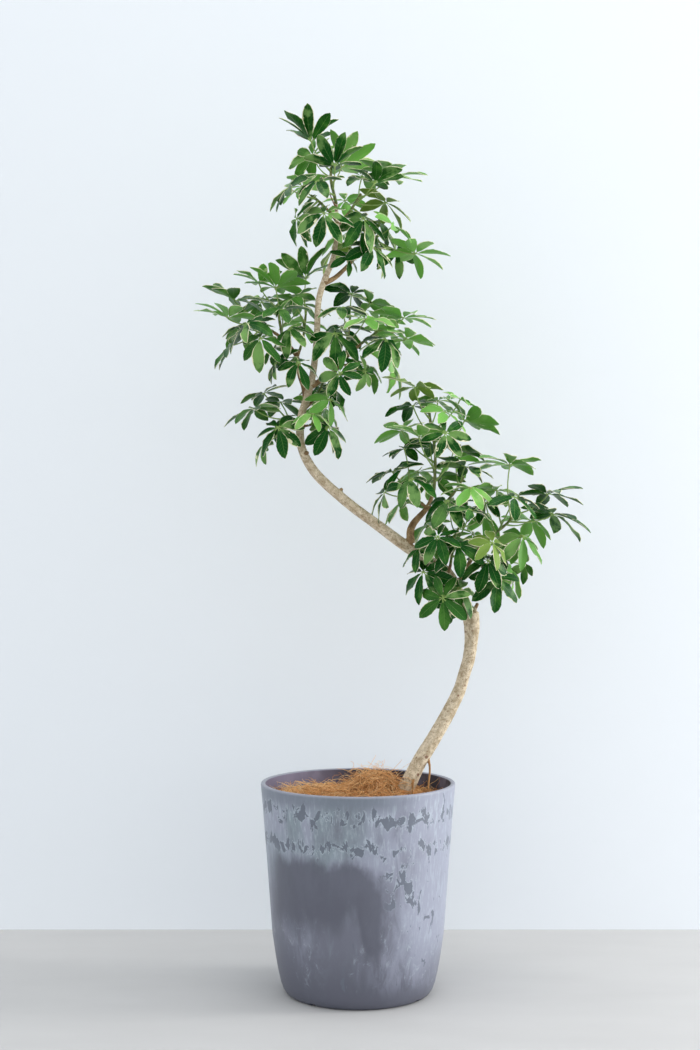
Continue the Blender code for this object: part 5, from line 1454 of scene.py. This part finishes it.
def make_blades(shoot):
    """All blades of a shoot as thin closed leaves, with their places kept as attributes."""
    shape = bmesh.new()
    shape.verts.layers.float_vector.new("blade")
    shape.verts.layers.float_color.new("tone")
    template = blade_template()
    for plan in leaf_plans:
        if plan["shoot"] != shoot.name:
            continue
        draw = random.Random(plan["seed"] + 5)
        # Painted light: a leaf that faces the daylight gets a paler green than one turned away from it
        painted_light_share = min(1.0, max(0.0, (plan["normal"].dot(DAYLIGHT) - SHADE_FROM) / (LIGHT_FROM - SHADE_FROM)))
        of_leaf = (draw.random() * (0.3 + 0.7 * painted_light_share), 1.0 if draw.random() < YOUNG_SHARE else 0.0)
        for leaflet in leaflets_of(plan):
            add_leaflet(shape, template, plan, leaflet, (*of_leaf, draw.random(), 1.0), draw)
    blades = finished("blades", shape, [])
    thicken = blades.modifiers.new("thickness", "SOLIDIFY")
    thicken.thickness = BLADE_THICKNESS * MM
    thicken.offset = -1.0
    thicken.material_offset = 1
    thick = evaluated_mesh(blades)
    bpy.data.objects.remove(blades)
    return thick


YOUNG_SHARE = 0.06
print("blade template:", len(blade_template().polygons), "faces")

# %% [markdown]
# ## Stalks and stems
# A leaf stalk leaves the stem from a swollen foot, bows outward, and ends in a small knob that carries the
# leaflets. The stems are green rods with a few raised rings where old leaves sat. Both are bent sticks.

# %% Stalks
STALK_RINGS = 8
STALK_RADII = (2.4, 1.65, 1.35, 1.2, 1.15, 1.15, 1.3, 1.7)


def stalk_line(plan):
    """The stalk's route: bowed outward from its root on the stem, and square to the leaf at the hub."""
    root = plan["root"]
    end = plan["hub"] - plan["normal"] * 2.0 * MM
    bow = (plan["hub"] - root).length * 0.14
    control = (root + end) / 2 + plan["outward"] * bow - Vector((0, 0, 0.5)) * bow
    shares = [step / (STALK_RINGS - 2) for step in range(STALK_RINGS - 1)]
    line = [root * (1 - t) ** 2 + control * 2 * t * (1 - t) + end * t ** 2 for t in shares]
    return line + [plan["hub"] + plan["normal"] * 0.6 * MM]


def add_stem(shape, shoot):
    points = stem_line(shoot)
    last = (points[-1] - points[-2]).normalized()
    points.append(points[-1] + last * 3.0 * MM)
    radii = [shoot.radius * MM * (1 - 0.18 * step / (len(points) - 2)) for step in range(len(points) - 1)]
    line, sizes = smooth_line(points, radii + [0.9 * MM], 4)
    sizes = [size * (1.0 + 0.12 * (index % 3 == 1)) for index, size in enumerate(sizes)]
    bend(shape, straight_stick(10, len(line)), line, sizes, (0.3, 0.0, 1.0, 1.0))


def make_shoot(shoot, finishes):
    shape = bmesh.new()
    shape.verts.layers.float_vector.new("blade")
    shape.verts.layers.float_color.new("tone")
    shape.from_mesh(make_blades(shoot))
    blades = len(shape.faces)
    stick = straight_stick(7, STALK_RINGS)
    for plan in leaf_plans:
        if plan["shoot"] == shoot.name:
            tone = (random.Random(plan["seed"]).random(), 0.0, 0.0, 1.0)
            bend(shape, stick, stalk_line(plan), [radius * MM for radius in STALK_RADII], tone)
    add_stem(shape, shoot)
    shape.faces.ensure_lookup_table()
    for face in shape.faces[blades:]:
        face.material_index = 2
    piece = finished("leafy_" + shoot.name, shape, finishes)
    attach(piece, "root")
    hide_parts("shoot_" + shoot.name)
    return piece

# %% [markdown]
# ## Leaf finishes
# The leaves are dark glossy green on top, with a pale midrib, side veins, and irregular cream edges that give
# this form its milky look. Their undersides are matte and lighter. The blade attribute gives each point its
# place across and along its leaflet, so veins and margins follow every blade. Young leaves are yellow green,
# and each leaf and leaflet has its own shade of green. A leaf that faces the daylight is also painted a
# paler green, which is painted light.


# %% Leaf finishes
def blade_parts(finish):
    """Across, from -1 to 1; along, from 0 to 1; and the distance from the edge in shares of the half width."""
    place = finish.node("Attribute", attribute_name="blade").outputs["Vector"]
    across_it, along_it, _ = finish.node("SeparateXYZ", {0: place}).outputs
    inward = finish.math("SUBTRACT", 1.0, finish.math("ABSOLUTE", across_it))
    return across_it, along_it, inward


def leaf_veins(finish, along_it, inward):
    """1 on the midrib and on the slanting side veins."""
    rib = finish.step(inward, 0.93, 0.98)
    slant = finish.math("SUBTRACT", along_it, finish.math("MULTIPLY", finish.math("SUBTRACT", 1.0, inward), 0.16))
    ripple = finish.math("SINE", finish.math("MULTIPLY", slant, 62.0))
    side = finish.step(ripple, 0.75, 0.98)
    return rib, side


def cream_edge(finish, inward, along_it):
    """The milky margin: thin, wandering from leaflet to leaflet, and here and there a whole pale corner."""
    tone, young, own = tone_of(finish)
    wander = finish.noise(finish.place(), 48.0, detail=3.0, roughness=0.6)
    feather = finish.noise(finish.place(), 260.0, detail=2.0)
    width = finish.math("MULTIPLY", finish.step(wander, 0.40, 0.64), 0.10)
    width = finish.math("ADD", width, finish.math("MULTIPLY", finish.step(own, 0.5, 1.0), 0.10))
    width = finish.math("ADD", width, finish.math("MULTIPLY", finish.math("SUBTRACT", feather, 0.58), 0.16))
    corner = finish.math("MULTIPLY", finish.step(wander, 0.62, 0.68), finish.step(own, 0.55, 0.75))
    width = finish.math("ADD", width, finish.math("MULTIPLY", corner, 0.5))
    edge = finish.step(finish.math("SUBTRACT", width, inward), -0.02, 0.03)
    return finish.math("MULTIPLY", edge, finish.step(along_it, 0.16, 0.34))


def leaf_top_finish():
    finish = Finish("leaf_top", 0.3)
    across_it, along_it, inward = blade_parts(finish)
    tone, young, own = tone_of(finish)
    rib, side = leaf_veins(finish, along_it, inward)
    cloud = finish.noise(finish.place(), 28.0, detail=4.0)
    # The tone's first value is each leaf's own shade, paled by painted light where the leaf faces the daylight
    green = finish.mix(finish.step(tone, 0.12, 0.75), (2, 72, 6), (118, 178, 80))
    green = finish.mix(finish.math("MULTIPLY", finish.step(cloud, 0.48, 0.72), 0.3), green, (116, 180, 72))
    milky = finish.math("MULTIPLY", finish.step(cloud, 0.44, 0.56), finish.step(own, 0.45, 0.8))
    green = finish.mix(finish.math("MULTIPLY", milky, 0.42), green, (164, 206, 122))
    green = finish.mix(young, green, (122, 152, 66))
    green = finish.mix(finish.math("MULTIPLY", side, 0.14), green, (104, 158, 76))
    green = finish.mix(finish.math("MULTIPLY", rib, 0.3), green, (130, 170, 92))
    milk = cream_edge(finish, inward, along_it)
    base = finish.mix(finish.math("MULTIPLY", milk, 0.95), green, (238, 234, 196))
    stalk = finish.step(along_it, 0.15, 0.10)
    base = finish.mix(stalk, base, (150, 178, 100))
    grain = finish.noise(finish.place(), 700.0, detail=2.0)
    relief = finish.math("SUBTRACT", finish.math("MULTIPLY", grain, 0.2), finish.math("MULTIPLY", side, 0.4))
    relief = finish.math("SUBTRACT", relief, finish.math("MULTIPLY", rib, 0.9))
    finish.bump(relief, 0.0006, 0.45)
    finish.plug(finish.math("MULTIPLY_ADD", cloud, 0.16, 0.26), finish.shader.inputs["Roughness"])
    finish.shader.inputs["Specular IOR Level"].default_value = 0.14
    glow(finish, 0.15)
    return finish.coat(base)


def glow(finish, weight):
    """Daylight that seeps through a thin blade."""
    finish.shader.inputs["Subsurface Weight"].default_value = weight
    finish.shader.inputs["Subsurface Scale"].default_value = 0.0015
    finish.shader.inputs["Subsurface Radius"].default_value = (0.7, 1.0, 0.3)


def leaf_under_finish():
    finish = Finish("leaf_underside", 0.55)
    across_it, along_it, inward = blade_parts(finish)
    tone, young, own = tone_of(finish)
    rib, side = leaf_veins(finish, along_it, inward)
    # The tone carries the painted light of leaves that face the daylight, as on the tops
    green = finish.mix(tone, (106, 158, 70), (158, 196, 114))
    green = finish.mix(young, green, (150, 174, 92))
    green = finish.mix(finish.math("MULTIPLY", side, 0.25), green, (164, 202, 120))
    green = finish.mix(finish.math("MULTIPLY", rib, 0.7), green, (190, 216, 146))
    milk = cream_edge(finish, inward, along_it)
    base = finish.mix(finish.math("MULTIPLY", milk, 0.85), green, (222, 224, 186))
    base = finish.mix(finish.step(along_it, 0.15, 0.10), base, (156, 184, 108))
    relief = finish.math("ADD", finish.math("MULTIPLY", side, 0.5), rib)
    finish.bump(relief, 0.0008, 0.6)
    finish.shader.inputs["Specular IOR Level"].default_value = 0.25
    glow(finish, 0.45)
    return finish.coat(base)


def stalk_finish():
    """Pale green stalks; the stems, marked in the tone's third value, are greener, and brown woody streaks run over
    both.
    """
    finish = Finish("leaf_stalk", 0.45)
    tone, _, stem = tone_of(finish)
    streak = finish.noise(finish.place((1.0, 1.0, 0.2)), 300.0, detail=3.0)
    pale = finish.mix(tone, (116, 152, 66), (152, 178, 100))
    green = finish.mix(finish.step(streak, 0.4, 0.62), (84, 108, 46), (124, 130, 70))
    base = finish.mix(stem, pale, green)
    base = finish.mix(finish.math("MULTIPLY", finish.step(streak, 0.55, 0.75), 0.35), base, (120, 104, 66))
    finish.bump(streak, 0.0006, 0.4)
    return finish.coat(base)


leaf_finishes = [leaf_top_finish(), leaf_under_finish(), stalk_finish()]
shoots = [make_shoot(shoot, leaf_finishes) for shoot in SHOOTS]
print("shoots:", len(shoots), "with", sum(count(piece) for piece in shoots), "triangles")
